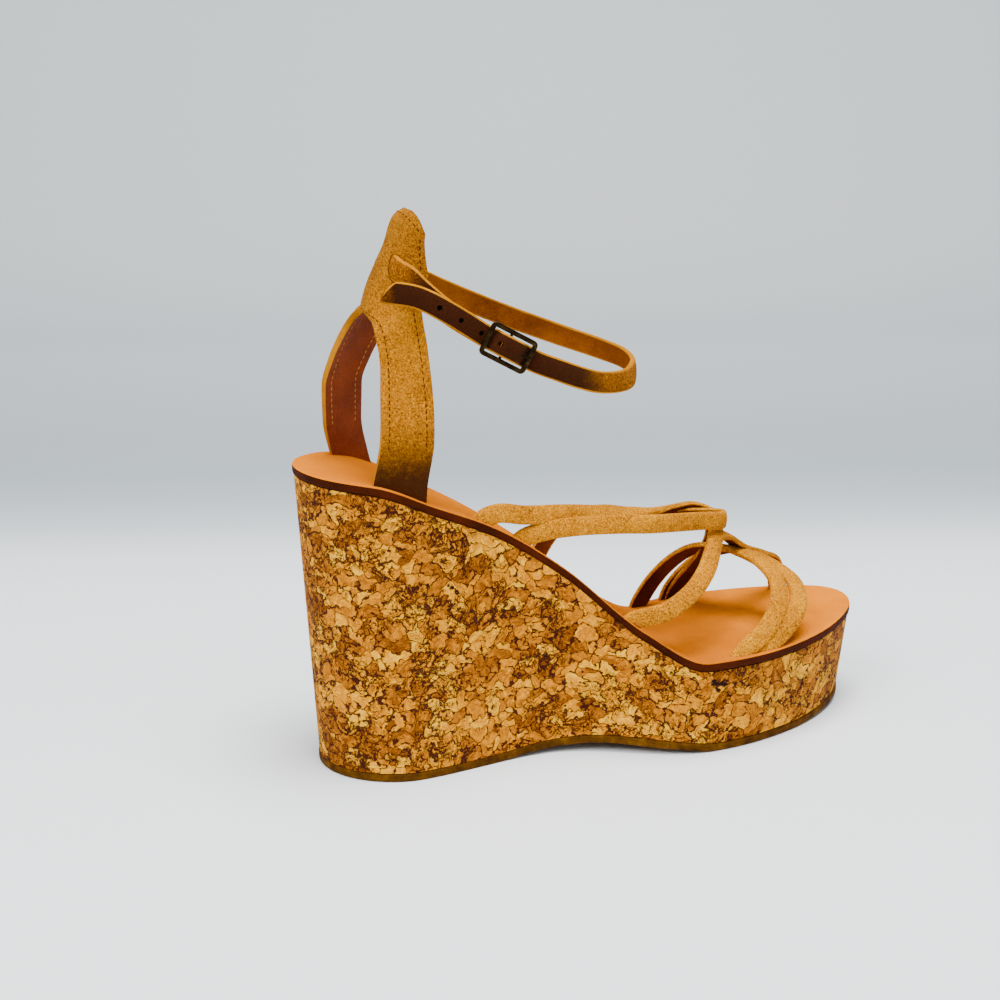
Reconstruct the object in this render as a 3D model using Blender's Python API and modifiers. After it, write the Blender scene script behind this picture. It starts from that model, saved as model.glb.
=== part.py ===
"""Platform wedge sandal, right shoe, in metres.

The shoe stands on z = 0 with its toe towards +X and its outer side towards -Y.
Every piece is modelled from the back of the heel (along) and from the heel's centre line (across).
The empty "sandal" then brings the middle of the shoe's outline to the origin.
"""

import math

import bmesh
import bpy
import numpy as np
from mathutils import Vector

# Outline of the footbed
SOLE_LENGTH = 0.240
HEEL_HALF_WIDTH = 0.0338
WAIST_OUTER = 0.0235
WAIST_INNER = 0.0185
BALL_OUTER = 0.0460
BALL_INNER = 0.0380
TOE_DRIFT = 0.0110
HEEL_ROUND = 0.0350

# Heights over the floor and thicknesses
HEEL_HEIGHT = 0.1220
PLATFORM_HEIGHT = 0.0397
WAIST_CANT = 0.0030
INSOLE_THICKNESS = 0.0038
OUTSOLE_THICKNESS = 0.0034
ARCH_RISE = 0.0040
TOE_SPRING = 0.0026

# How far the foot of the wedge stands inside its top
HEEL_RAKE = 0.0062
TOE_RAKE = 0.0047
SIDE_RAKE = 0.0042

# Small steps, rounded edges and clearances
CORK_STEP = 0.0005
RUBBER_STEP = 0.0003
INSOLE_ROUND = 0.0007
OUTSOLE_ROUND = 0.0006
GAP = 0.0003
SLIT_INSET = 0.0032
SLIT_CLEARANCE = 0.0003

# Straps over the forefoot
STRAP_WIDTH = 0.0075
STRAP_THICKNESS = 0.0022
STRAP_CROWN = 0.0006
TOE_STRAP_WIDTH = 0.0078
INSTEP_RISE = 0.0500

# Heel counter
COUNTER_WALL = 0.0024
COUNTER_ROUND = 0.0005
CREST_RISE = 0.0585
TAB_RISE = 0.0355
TAB_DROP = 0.0110

# Ankle strap and its buckle
ANKLE_STRAP_WIDTH = 0.0086
ANKLE_STRAP_THICKNESS = 0.0020
BUCKLE_LENGTH = 0.0200
BUCKLE_HEIGHT = 0.0136
BUCKLE_BAR_WIDTH = 0.0019
BUCKLE_BAR_DEPTH = 0.0015
PRONG_DIAMETER = 0.0015
HOLE_PITCH = 0.0093
HOLE_DIAMETER = 0.0021
BUCKLE_CORNER = 0.0016
BUCKLE_WINDOW_CORNER = 0.0008
BUCKLE_ROUND = 0.0002

STATIONS = 49
STRAP_STEP = 0.0060
STRAP_TURN = math.radians(18)

# Half width of the footbed: share of the length, named size, share of that size
OUTER_EDGE = [
    (0.00, HEEL_HALF_WIDTH, 1.00),
    (0.12, HEEL_HALF_WIDTH, 1.00),
    (0.38, WAIST_OUTER, 1.00),
    (0.66, BALL_OUTER, 1.00),
    (0.84, BALL_OUTER, 0.93),
    (1.00, BALL_OUTER, 0.80),
]
INNER_EDGE = [
    (0.00, HEEL_HALF_WIDTH, 1.00),
    (0.12, HEEL_HALF_WIDTH, 1.00),
    (0.38, WAIST_INNER, 1.00),
    (0.70, BALL_INNER, 1.00),
    (0.86, BALL_INNER, 0.95),
    (1.00, BALL_INNER, 0.85),
]
TOE_START = 0.68
TOE_POWER = 2.17
DRIFT_START = 0.55

# Height of the footbed: share of the length, share of the fall from heel to platform
FOOTBED_PROFILE = [
    (0.00, 1.000),
    (0.10, 0.968),
    (0.20, 0.845),
    (0.30, 0.705),
    (0.42, 0.465),
    (0.54, 0.155),
    (0.64, 0.000),
    (0.74, 0.000),
    (0.87, 0.012),
    (1.00, 0.040),
]

# Underside of the rubber: share of the length, share of the arch, share of the toe spring
TREAD_PROFILE = [
    (0.00, 0.00, 0.00),
    (0.27, 0.00, 0.00),
    (0.38, 0.55, 0.00),
    (0.48, 1.00, 0.00),
    (0.58, 0.60, 0.00),
    (0.68, 0.00, 0.00),
    (0.83, 0.00, 0.00),
    (0.93, 0.00, 0.45),
    (1.00, 0.00, 1.00),
]

# How much of the cant the footbed has: share of the length, share of the cant
CANT_PROFILE = [(0.00, 0.0), (0.15, 0.5), (0.35, 1.0), (0.55, 1.0), (0.75, 0.0), (1.00, 0.0)]


def curve_through(knots, values, at):
    """Smooth curve through a table's points that never overshoots them."""
    knots = np.asarray(knots, float)
    values = np.asarray(values, float)
    steps = np.diff(knots)
    slopes = np.diff(values) / steps
    tangents = np.zeros(len(knots))
    for i in range(1, len(knots) - 1):
        before, after = slopes[i - 1], slopes[i]
        if before * after > 0:
            near = 2 * steps[i] + steps[i - 1]
            far = steps[i] + 2 * steps[i - 1]
            tangents[i] = (near + far) / (near / before + far / after)
    tangents[0] = slopes[0]
    tangents[-1] = slopes[-1]
    at = np.clip(at, knots[0], knots[-1])
    span = np.clip(np.searchsorted(knots, at, side="right") - 1, 0, len(steps) - 1)
    s = (at - knots[span]) / steps[span]
    start = (1 + 2 * s) * (1 - s) ** 2 * values[span]
    end = s**2 * (3 - 2 * s) * values[span + 1]
    leave = s * (1 - s) ** 2 * steps[span] * tangents[span]
    arrive = s**2 * (s - 1) * steps[span] * tangents[span + 1]
    return start + end + leave + arrive


def half_width(table, t):
    """Half width at a share of the length, before the ends are rounded off."""
    return curve_through([row[0] for row in table], [row[1] * row[2] for row in table], t)


def end_rounding(t):
    """1 along the sides, falling to 0 at the back of the heel and at the tip of the toe."""
    heel_share = HEEL_ROUND / SOLE_LENGTH
    heel = math.sqrt(max(0.0, 1 - (1 - t / heel_share) ** 2)) if t < heel_share else 1.0
    past = max(0.0, (t - TOE_START) / (1 - TOE_START))
    toe = max(0.0, 1 - past**TOE_POWER) ** (1 / TOE_POWER)
    return heel * toe


def drift(t):
    """Sideways shift of the centre line towards the inner side of the toe."""
    return TOE_DRIFT * max(0.0, (t - DRIFT_START) / (1 - DRIFT_START)) ** 1.5


def edges(t, inset=0.0):
    """Across positions of the outer and the inner edge."""
    rounding = end_rounding(t)
    outer = -max(0.0, half_width(OUTER_EDGE, t) * rounding - inset)
    inner = max(0.0, half_width(INNER_EDGE, t) * rounding - inset)
    return outer + drift(t), inner + drift(t)


def footbed_height(along, across):
    """Top of the insole over the floor."""
    t = min(max(along / SOLE_LENGTH, 0.0), 1.0)
    share = curve_through(*zip(*FOOTBED_PROFILE), t)
    outer, inner = edges(t)
    reach = (across - outer) / (inner - outer) if inner - outer > 1e-6 else 0.5
    cant = WAIST_CANT * curve_through(*zip(*CANT_PROFILE), t) * min(max(reach, 0.0), 1.0)
    return PLATFORM_HEIGHT + (HEEL_HEIGHT - PLATFORM_HEIGHT) * share - cant


def tread_height(t):
    """Underside of the rubber over the floor."""
    shares, arch, spring = zip(*TREAD_PROFILE)
    return ARCH_RISE * curve_through(shares, arch, t) + TOE_SPRING * curve_through(shares, spring, t)


# Straps over the forefoot, from the outer root to the inner one.
# Columns: share of the length, share of the way from the centre line to the slit line (outer is
# negative), share of the instep rise over the footbed, azimuth and elevation of the outer face.
INSTEP_STRAP = [
    (0.350, -1.00, 0.00, -90, 5),
    (0.389, -1.05, 0.19, -90, 5),
    (0.447, -0.98, 0.44, -90, 8),
    (0.517, -0.70, 0.74, -85, 8),
    (0.577, -0.49, 0.91, -80, 5),
    (0.682, -0.27, 0.96, -75, 0),
    (0.731, -0.17, 0.91, -70, 0),
    (0.741, -0.08, 0.90, -10, 0),
    (0.736, 0.04, 0.89, 75, 0),
    (0.700, 0.24, 0.88, 85, 0),
    (0.638, 0.50, 0.87, 90, 0),
    (0.550, 0.78, 0.75, 90, 5),
    (0.475, 0.97, 0.42, 90, 5),
    (0.430, 1.00, 0.00, 90, 5),
]
REAR_STRAP = [
    (0.280, -1.00, 0.00, -90, 10),
    (0.310, -1.01, 0.12, -90, 12),
    (0.355, -1.04, 0.22, -90, 15),
    (0.420, -0.84, 0.42, -90, 25),
    (0.501, -0.36, 0.72, -88, 45),
    (0.590, 0.02, 0.96, -80, 80),
    (0.658, 0.25, 0.98, 80, 45),
    (0.712, 0.36, 0.92, 75, 25),
    (0.748, 0.34, 0.82, 50, 10),
    (0.755, 0.40, 0.66, 60, 10),
    (0.744, 0.50, 0.47, 80, 15),
    (0.733, 0.68, 0.32, 90, 15),
    (0.722, 0.86, 0.17, 90, 10),
    (0.712, 1.00, 0.00, 90, 5),
]
CROSS_STRAP = [
    (0.522, -1.00, 0.00, -90, 5),
    (0.573, -0.99, 0.27, -90, 15),
    (0.631, -0.72, 0.49, -90, 30),
    (0.675, -0.51, 0.60, -85, 35),
    (0.703, -0.32, 0.71, -75, 25),
    (0.722, -0.16, 0.79, -60, 40),
    (0.752, 0.02, 0.73, -10, 75),
    (0.795, 0.20, 0.57, 40, 60),
    (0.848, 0.46, 0.42, 60, 45),
    (0.892, 0.80, 0.26, 75, 30),
    (0.908, 1.00, 0.00, 80, 5),
]
TOE_STRAP_REAR = [
    (0.705, -1.00, 0.00, -90, 5),
    (0.755, -0.97, 0.15, -90, 20),
    (0.787, -0.88, 0.27, -85, 30),
    (0.809, -0.69, 0.35, -80, 35),
    (0.820, -0.46, 0.40, -70, 45),
    (0.812, -0.13, 0.49, -60, 60),
    (0.785, 0.12, 0.55, 0, 88),
    (0.755, 0.32, 0.57, 80, 65),
    (0.724, 0.50, 0.54, 85, 45),
    (0.696, 0.68, 0.43, 90, 30),
    (0.665, 0.86, 0.24, 90, 20),
    (0.640, 1.00, 0.00, 90, 5),
]
TOE_STRAP_FRONT = [
    (0.752, -1.00, 0.00, -90, 5),
    (0.794, -1.00, 0.12, -90, 20),
    (0.827, -0.93, 0.22, -85, 30),
    (0.848, -0.75, 0.29, -80, 35),
    (0.855, -0.48, 0.36, -70, 45),
    (0.840, -0.10, 0.43, -60, 60),
    (0.812, 0.18, 0.49, 0, 88),
    (0.784, 0.42, 0.50, 80, 65),
    (0.756, 0.66, 0.43, 85, 45),
    (0.733, 0.84, 0.29, 90, 30),
    (0.711, 0.96, 0.12, 90, 15),
    (0.702, 1.00, 0.00, 90, 5),
]
STRAP_TAIL = 0.0090

# Legs of the counter. Columns: share of the crest's rise over the heel seat, then share of the
# length and share of the slit line for the back edge and for the front edge.
OUTER_LEG = [
    (-0.45, 0.100, -1.00, 0.182, -1.00),
    (-0.10, 0.100, -1.00, 0.186, -1.00),
    (0.20, 0.115, -0.95, 0.200, -0.98),
    (0.50, 0.123, -0.76, 0.204, -0.84),
    (0.78, 0.129, -0.50, 0.203, -0.64),
    (0.92, 0.129, -0.34, 0.200, -0.55),
    (1.00, 0.122, 0.00, 0.199, -0.50),
]
INNER_LEG = [
    (-0.45, 0.095, 1.00, 0.156, 1.00),
    (-0.10, 0.088, 0.97, 0.152, 1.00),
    (0.15, 0.066, 0.80, 0.132, 0.90),
    (0.45, 0.064, 0.64, 0.130, 0.76),
    (0.78, 0.094, 0.40, 0.166, 0.60),
    (0.92, 0.110, 0.26, 0.192, 0.52),
    (1.00, 0.122, 0.00, 0.206, 0.48),
]
# Tab. Columns: share of the tab's rise over the crest, share of the length at the centre line,
# then share of the length and share of the slit line at the outer and at the inner front edge.
TAB = [
    (0.00, 0.122, 0.199, -0.50, 0.206, 0.48),
    (0.20, 0.131, 0.208, -0.46, 0.209, 0.45),
    (0.42, 0.145, 0.212, -0.44, 0.210, 0.43),
    (0.67, 0.162, 0.209, -0.40, 0.208, 0.39),
    (0.85, 0.171, 0.208, -0.38, 0.207, 0.37),
    (1.00, 0.186, 0.208, -0.36, 0.207, 0.35),
]
COUNTER_COLUMNS = 6
LEG_ROWS = 14
TAB_ROWS = 8
TAB_CURVE = 2.4
TAB_REACH = 0.92

# Ankle strap. Columns: share of the length, share of the ankle's half width (outer is negative),
# share of the fall from the slits to the front turn, azimuth and elevation of the outer face.
ANKLE_HALF_WIDTH = 0.0275
ANKLE_FALL = 0.0470
SLIT_SHARE = 0.46
TO_SLITS = [
    (0.232, -0.79, 0.34, -95, 0),
    (0.195, -0.69, 0.17, -105, 0),
    (0.178, -0.55, 0.07, -125, 3),
    (0.166, -0.43, 0.03, -145, 8),
    (0.162, -0.31, 0.00, -165, 14),
    (0.163, -0.16, 0.00, -178, 20),
    (0.164, 0.00, 0.00, 180, 22),
    (0.163, 0.16, 0.00, 178, 20),
    (0.162, 0.31, 0.00, 165, 14),
    (0.166, 0.43, 0.03, 145, 8),
    (0.178, 0.54, 0.06, 125, 3),
    (0.195, 0.62, 0.12, 105, 0),
]
ROUND_THE_FRONT = [
    (0.235, 0.69, 0.21, 100, 0),
    (0.270, 0.80, 0.30, 95, 0),
    (0.377, 0.95, 0.55, 90, 0),
    (0.480, 0.87, 0.76, 75, 3),
    (0.544, 0.68, 0.88, 55, 5),
    (0.573, 0.42, 0.94, 25, 8),
    (0.578, 0.12, 0.99, 0, 8),
    (0.562, -0.16, 1.04, -30, 8),
    (0.531, -0.44, 1.04, -50, 5),
    (0.485, -0.72, 1.00, -65, 3),
    (0.447, -0.86, 0.935, -78, 2),
    (0.412, -0.93, 0.86, -85, 0),
]
PAST_THE_BUCKLE = [
    (0.235, -0.90, 0.35, -93, 0),
    (0.185, -0.84, 0.21, -100, 4),
    (0.145, -0.79, 0.16, -107, 7),
]
TIP_SLANT = -0.0027

# Buckle: where its middle lies, and how its long side falls towards the toe
BUCKLE_ALONG = 0.323
BUCKLE_ACROSS = -1.00
BUCKLE_SHARE = 0.635
BUCKLE_SLOPE = math.radians(-29.5)
BAR_RADIUS = 0.0006
BAR_CLEARANCE = 0.0002
END_LAP = 0.0024
STRAP_DIP = 0.0040
HOLE_COUNT = 5
PRONG_HOLE = 0.45
PRONG_BEND = 0.42
PRONG_FLAT = 0.62
PRONG_PAST = 0.0004
STAPLE_ROUND = 0.0004

# Where the cutters of the slits end
SLIT_RISE = 0.0030
SLITS_END = 0.20


def sole_point(along, across, rise):
    """Place on or over the footbed, from shares of the length, of the slit line and of the instep rise."""
    outer, inner = edges(along, SLIT_INSET)
    middle = drift(along)
    side = inner - middle if across > 0 else middle - outer
    x = along * SOLE_LENGTH
    y = middle + across * side
    return np.array([x, y, footbed_height(x, y) + rise * INSTEP_RISE])


def facing(azimuth, elevation):
    """Unit vector at an azimuth and an elevation in degrees, azimuth 0 towards the toe."""
    a, e = math.radians(azimuth), math.radians(elevation)
    return np.array([math.cos(a) * math.cos(e), math.sin(a) * math.cos(e), math.sin(e)])


def smooth_path(points, faces):
    """Points and outward faces along a smooth curve through the given ones, closer where it turns."""
    points = np.asarray(points, float)
    rows = np.hstack([points, np.asarray(faces, float)])
    rows = np.vstack([2 * rows[0] - rows[1], rows, 2 * rows[-1] - rows[-2]])
    gaps = np.linalg.norm(np.diff(rows[:, :3], axis=0), axis=1)
    knots = np.concatenate([[0], np.cumsum(np.sqrt(gaps))])
    dense = []
    for i in range(1, len(rows) - 2):
        k0, k1, k2, k3 = knots[i - 1 : i + 3]
        count = max(4, int(gaps[i] / 0.0004))
        for k in np.linspace(k1, k2, count, endpoint=False):
            a1 = rows[i - 1] + (rows[i] - rows[i - 1]) * (k - k0) / (k1 - k0)
            a2 = rows[i] + (rows[i + 1] - rows[i]) * (k - k1) / (k2 - k1)
            a3 = rows[i + 1] + (rows[i + 2] - rows[i + 1]) * (k - k2) / (k3 - k2)
            b1 = a1 + (a2 - a1) * (k - k0) / (k2 - k0)
            b2 = a2 + (a3 - a2) * (k - k1) / (k3 - k1)
            dense.append(b1 + (b2 - b1) * (k - k1) / (k2 - k1))
    dense.append(rows[-2])
    dense = np.array(dense)
    ahead = np.gradient(dense[:, :3], axis=0)
    ahead /= np.linalg.norm(ahead, axis=1)[:, None]
    face = dense[:, 3:] - (dense[:, 3:] * ahead).sum(axis=1)[:, None] * ahead
    face /= np.linalg.norm(face, axis=1)[:, None]
    kept = [0]
    for i in range(1, len(dense) - 1):
        last = kept[-1]
        far = np.linalg.norm(dense[i, :3] - dense[last, :3])
        turn = math.acos(min(1.0, float(ahead[i] @ ahead[last])))
        twist = math.acos(min(1.0, float(face[i] @ face[last])))
        if far >= STRAP_STEP or (max(turn, twist) >= STRAP_TURN and far >= 0.0004):
            kept.append(i)
    if np.linalg.norm(dense[-1, :3] - dense[kept[-1], :3]) < 0.0008:
        kept.pop()
    kept.append(len(dense) - 1)
    return dense[kept, :3], ahead[kept], face[kept]


def new_object(name, mesh, collection):
    """Object that moves with the sandal's empty."""
    obj = bpy.data.objects.new(name, mesh)
    collection.objects.link(obj)
    obj.parent = sandal
    return obj


def finished_mesh(name, bm):
    """Mesh from a bmesh, shaded smooth up to a sharp edge."""
    bmesh.ops.recalc_face_normals(bm, faces=bm.faces[:])
    mesh = bpy.data.meshes.new(name)
    bm.to_mesh(mesh)
    bm.free()
    mesh.shade_smooth()
    mesh.set_sharp_from_angle(angle=math.radians(35))
    return mesh


def loft(bm, rings):
    """Faces between closed rings of vertices, with a triangle where two corners are one vertex."""
    for near, far in zip(rings, rings[1:]):
        for i in range(len(near)):
            j = (i + 1) % len(near)
            corners = [near[i], near[j], far[j], far[i]]
            corners = [c for k, c in enumerate(corners) if c is not corners[k - 1]]
            if len(corners) > 2:
                bm.faces.new(corners)


def slab(name, collection, levels):
    """Solid between outlines; each level from the top down gives its outer and inner point."""
    bm = bmesh.new()
    rings = []
    for i in range(STATIONS):
        t = (1 - math.cos(math.pi * i / (STATIONS - 1))) / 2
        sides = [level(t) for level in levels]
        if i in (0, STATIONS - 1):
            down = [bm.verts.new((np.array(outer) + inner) / 2) for outer, inner in sides]
            rings.append(down + down[::-1])
        else:
            down = [bm.verts.new(outer) for outer, _ in sides]
            up = [bm.verts.new(inner) for _, inner in reversed(sides)]
            rings.append(down + up)
    loft(bm, rings)
    return new_object(name, finished_mesh(name, bm), collection)


def rounded_rim(radius, thickness):
    """How far the rim stands back, and how deep, down the edge of a slab with rounded edges."""
    corner = [(radius, 0.0), (0.3 * radius, 0.3 * radius), (0.0, radius)]
    return corner + [(back, thickness - depth) for back, depth in reversed(corner)]


def cut(obj, cutter, operation="DIFFERENCE"):
    """Boolean of the object with another one."""
    modifier = obj.modifiers.new(f"{operation.title()} {cutter.name}", "BOOLEAN")
    modifier.operation = operation
    modifier.object = cutter


def footbed_edge(t, inset, depth):
    """Outer and inner point of the footbed's outline, a given depth under its top."""
    x = inset + t * (SOLE_LENGTH - 2 * inset)
    outer, inner = edges(t, inset)
    return [(x, y, footbed_height(x, y) - depth) for y in (outer, inner)]


def tread_edge(t, step, height):
    """Outer and inner point of the foot of the wedge, a given height over the rubber's underside."""
    x = HEEL_RAKE - step + t * (SOLE_LENGTH - HEEL_RAKE - TOE_RAKE + 2 * step)
    outer, inner = edges(t)
    narrowing = (BALL_OUTER - SIDE_RAKE + step) / BALL_OUTER
    middle = drift(t)
    z = tread_height(t) + height
    return [(x, middle + (y - middle) * narrowing, z) for y in (outer, inner)]


def ribbon(name, collection, path, width, thickness, grow=0.0, slant=0.0):
    """Strap of a flat crowned section along a path, both faces grown by the same amount."""
    points, ahead, face = path
    bm = bmesh.new()
    rows = []
    for i, (point, t, n) in enumerate(zip(points, ahead, face)):
        side = np.cross(t, n)
        row = []
        for share in (-1, 0, 1):
            place = point + side * share * (width / 2 + grow) + n * STRAP_CROWN * (0.5 - share**2)
            if i == len(points) - 1:
                place = place + t * slant * share
            row.append(bm.verts.new(place))
        rows.append(row)
    for near, far in zip(rows, rows[1:]):
        for j in range(2):
            bm.faces.new((near[j], near[j + 1], far[j + 1], far[j]))
    obj = new_object(name, finished_mesh(name, bm), collection)
    solidify = obj.modifiers.new("Thickness", "SOLIDIFY")
    solidify.thickness = thickness + 2 * grow
    solidify.offset = 0
    if not grow:
        bevel = obj.modifiers.new("Rounded edges", "BEVEL")
        bevel.width = thickness * 0.28
        bevel.segments = 1
        bevel.limit_method = "ANGLE"
        bevel.angle_limit = math.radians(60)
    return obj


def vamp_path(table):
    """Path of a forefoot strap, with a straight tail through the footbed at each root."""
    points = [sole_point(*row[:3]) for row in table]
    faces = [facing(*row[3:]) for row in table]
    tails = []
    for row, above in ((table[0], points[1]), (table[-1], points[-2])):
        root = sole_point(*row[:3])
        lean = (root - above)[0] / np.linalg.norm(root - above)
        tail = sole_point(row[0] + lean / 2 * STRAP_TAIL / SOLE_LENGTH, row[1], 0)
        tails.append(np.array([tail[0], tail[1], root[2] - STRAP_TAIL]))
    points = [tails[0], *points, tails[1]]
    return smooth_path(points, [faces[0], *faces, faces[-1]])


def ankle_point(along, across, share):
    """Place on the ankle strap's loop."""
    top = HEEL_HEIGHT + CREST_RISE + SLIT_SHARE * TAB_RISE
    return np.array([along * SOLE_LENGTH, across * ANKLE_HALF_WIDTH, top - share * ANKLE_FALL])


def buckle_point(ahead, up, out):
    """Place at the buckle: ahead along the strap, up across it and out from the ankle."""
    middle = ankle_point(BUCKLE_ALONG, BUCKLE_ACROSS, BUCKLE_SHARE)
    c, s = math.cos(BUCKLE_SLOPE), math.sin(BUCKLE_SLOPE)
    return middle + ahead * np.array([c, 0, s]) + up * np.array([-s, 0, c]) + out * np.array([0, -1, 0])


def buckle_levels():
    """How far out the layers of the buckle lie: under the end bars, over the centre bar, the bar itself."""
    half = ANKLE_STRAP_THICKNESS / 2
    loop = BAR_RADIUS + BAR_CLEARANCE + half + STRAP_CROWN / 2
    under_ends = -BUCKLE_BAR_DEPTH / 2 - 3 * BAR_CLEARANCE - half - STRAP_CROWN / 2
    bar = -loop - half - STRAP_CROWN / 2
    over_bar = BAR_CLEARANCE + half + STRAP_CROWN
    lap = under_ends - ANKLE_STRAP_THICKNESS - STRAP_CROWN - GAP
    return under_ends, over_bar, bar, loop, lap


def ankle_path():
    """The whole strap: its end round the centre bar, through the tab, round the front, to the tip."""
    under_ends, over_bar, bar, loop, lap = buckle_levels()
    out = facing(-90, 0)
    reach = BUCKLE_LENGTH / 2 - BUCKLE_BAR_WIDTH / 2
    fold = [
        (-END_LAP, bar + loop * 0.9, (-0.1, 1)),
        (0.0, bar + loop, (0, 1)),
        (loop * 0.72, bar + loop * 0.7, (0.7, 0.7)),
        (loop, bar, (1, 0)),
        (loop * 0.72, bar - loop * 0.7, (0.7, -0.7)),
        (0.0, bar - loop, (0, -1)),
        (-reach * 0.5, min(bar - loop, lap), (0, -1)),
        (-reach, lap, (0, -1)),
    ]
    slope = buckle_point(1, 0, 0) - buckle_point(0, 0, 0)
    points = [buckle_point(a, 0, n) for a, n, _ in fold]
    faces = [slope * f[0] + out * f[1] for _, _, f in fold]
    points += [ankle_point(*row[:3]) for row in TO_SLITS + ROUND_THE_FRONT]
    faces += [-facing(*row[3:]) for row in TO_SLITS + ROUND_THE_FRONT]
    wave = [
        (reach + STRAP_DIP, under_ends * 0.8),
        (reach, under_ends),
        (reach * 0.84, under_ends * 0.95),
        (reach * 0.36, over_bar * 0.8),
        (0.0, over_bar),
        (-reach * 0.36, over_bar * 0.8),
        (-reach * 0.84, under_ends * 0.95),
        (-reach, under_ends),
    ]
    points += [buckle_point(a, 0, n) for a, n in wave]
    faces += [-out] * len(wave)
    points += [ankle_point(*row[:3]) for row in PAST_THE_BUCKLE]
    faces += [-facing(*row[3:]) for row in PAST_THE_BUCKLE]
    return smooth_path(points, -np.array(faces))


def counter_mesh(name, grow=0.0):
    """Middle surface of the counter: two legs that join into the tab that stands behind the heel."""
    bm = bmesh.new()
    columns = [math.sin(math.pi / 2 * k / COUNTER_COLUMNS) for k in range(COUNTER_COLUMNS + 1)]
    crest = HEEL_HEIGHT + CREST_RISE
    halves = []
    for table in (OUTER_LEG, INNER_LEG):
        shares = [row[0] for row in table]
        grid = []
        for k in range(LEG_ROWS):
            share = shares[0] + (shares[-1] - shares[0]) * (1 - (1 - k / (LEG_ROWS - 1)) ** 1.6)
            back_t, back_y, front_t, front_y = (
                curve_through(shares, [row[c] for row in table], share) for c in (1, 2, 3, 4)
            )
            back = sole_point(back_t - grow / SOLE_LENGTH, back_y, 0)[:2]
            front = sole_point(front_t + grow / SOLE_LENGTH, front_y, 0)[:2]
            corner = np.array([back[0], front[1]])
            bend = max(0.0, share) ** 2
            middle = (back + front) / 2 * (1 - bend) + corner * bend
            height = HEEL_HEIGHT + share * CREST_RISE
            row = []
            for u in columns:
                x, y = back * (1 - u) ** 2 + middle * 2 * u * (1 - u) + front * u**2
                row.append(bm.verts.new((x, y, height)))
            grid.append(row)
        halves.append(grid)
    outer, inner = halves
    bm.verts.remove(inner[-1][0])
    inner[-1][0] = outer[-1][0]
    for grid in halves:
        for near, far in zip(grid, grid[1:]):
            for j in range(COUNTER_COLUMNS):
                bm.faces.new((near[j], near[j + 1], far[j + 1], far[j]))
    last = list(reversed(outer[-1])) + inner[-1][1:]
    shares = [row[0] for row in TAB]
    for k in range(1, TAB_ROWS + 1):
        rise = 1 - (1 - k / TAB_ROWS) ** 1.3
        back_t, outer_t, outer_y, inner_t, inner_y = (
            curve_through(shares, [row[c] for row in TAB], rise) for c in (1, 2, 3, 4, 5)
        )
        back = sole_point(back_t, 0, 0)[:2]
        row = []
        for side in (-1, 1):
            front = sole_point(outer_t, outer_y, 0)[:2] if side < 0 else sole_point(inner_t, inner_y, 0)[:2]
            corner = np.array([back[0] + 0.4 * rise**3 * (front[0] - back[0]), front[1]])
            half = []
            for u in columns:
                x, y = back * (1 - u) ** 2 + corner * 2 * u * (1 - u) + front * u**2
                drop = 1 - math.sqrt(1 - min(1.0, TAB_REACH * u) ** TAB_CURVE)
                half.append((x, y, crest + rise * (TAB_RISE - TAB_DROP * drop)))
            row += list(reversed(half)) if side < 0 else half[1:]
        row = [bm.verts.new(p) for p in row]
        for j in range(len(row) - 1):
            bm.faces.new((last[j], last[j + 1], row[j + 1], row[j]))
        last = row
    return finished_mesh(name, bm)


def thickened(obj, thickness, rounding=0.0):
    """Wall of the given thickness about the mesh, its edges rounded off."""
    solidify = obj.modifiers.new("Wall", "SOLIDIFY")
    solidify.thickness = thickness
    solidify.offset = 0
    if not rounding:
        return
    bevel = obj.modifiers.new("Rounded edges", "BEVEL")
    bevel.width = rounding
    bevel.segments = 1
    bevel.limit_method = "ANGLE"
    bevel.angle_limit = math.radians(60)


def rounded_rectangle(curve, length, height, radius):
    """Adds a rounded rectangle about the origin to a flat curve."""
    spline = curve.splines.new("POLY")
    corners = []
    for k, (sx, sy) in enumerate(((1, 1), (-1, 1), (-1, -1), (1, -1))):
        for step in range(4):
            a = math.pi / 2 * (k + step / 3)
            x = sx * (length / 2 - radius) + radius * math.cos(a)
            y = sy * (height / 2 - radius) + radius * math.sin(a)
            corners.append((x, y, 0, 1))
    spline.points.add(len(corners) - 1)
    for point, corner in zip(spline.points, corners):
        point.co = corner
    spline.use_cyclic_u = True


def at_the_buckle(name, curve, collection):
    """Mesh object of a curve drawn in the buckle's own plane, set in its place on the strap."""
    drawing = bpy.data.objects.new(f"{name} drawing", curve)
    bm = bmesh.new()
    bm.from_mesh(bpy.data.meshes.new_from_object(drawing))
    bpy.data.objects.remove(drawing)
    bmesh.ops.remove_doubles(bm, verts=bm.verts[:], dist=1e-6)
    for vert in bm.verts:
        vert.co = Vector(buckle_point(*vert.co))
    mesh = finished_mesh(name, bm)
    if sum(face.center.dot(face.normal) * face.area for face in mesh.polygons) < 0:
        mesh.flip_normals()
    return new_object(name, mesh, collection)


def wire(name, points, radius, resolution):
    """Round wire along points in the buckle's own plane."""
    curve = bpy.data.curves.new(name, "CURVE")
    curve.dimensions = "3D"
    curve.bevel_depth = radius
    curve.bevel_resolution = resolution
    curve.use_fill_caps = True
    spline = curve.splines.new("POLY")
    spline.points.add(len(points) - 1)
    for point, place in zip(spline.points, points):
        point.co = (*place, 1)
    return curve


def arc(centre, radius, start, end, steps):
    """Points of an arc in the plane that runs along the strap and out from the ankle."""
    angles = [math.radians(start + (end - start) * k / steps) for k in range(steps + 1)]
    return [(centre[0] + radius * math.cos(a), 0, centre[1] + radius * math.sin(a)) for a in angles]


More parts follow.
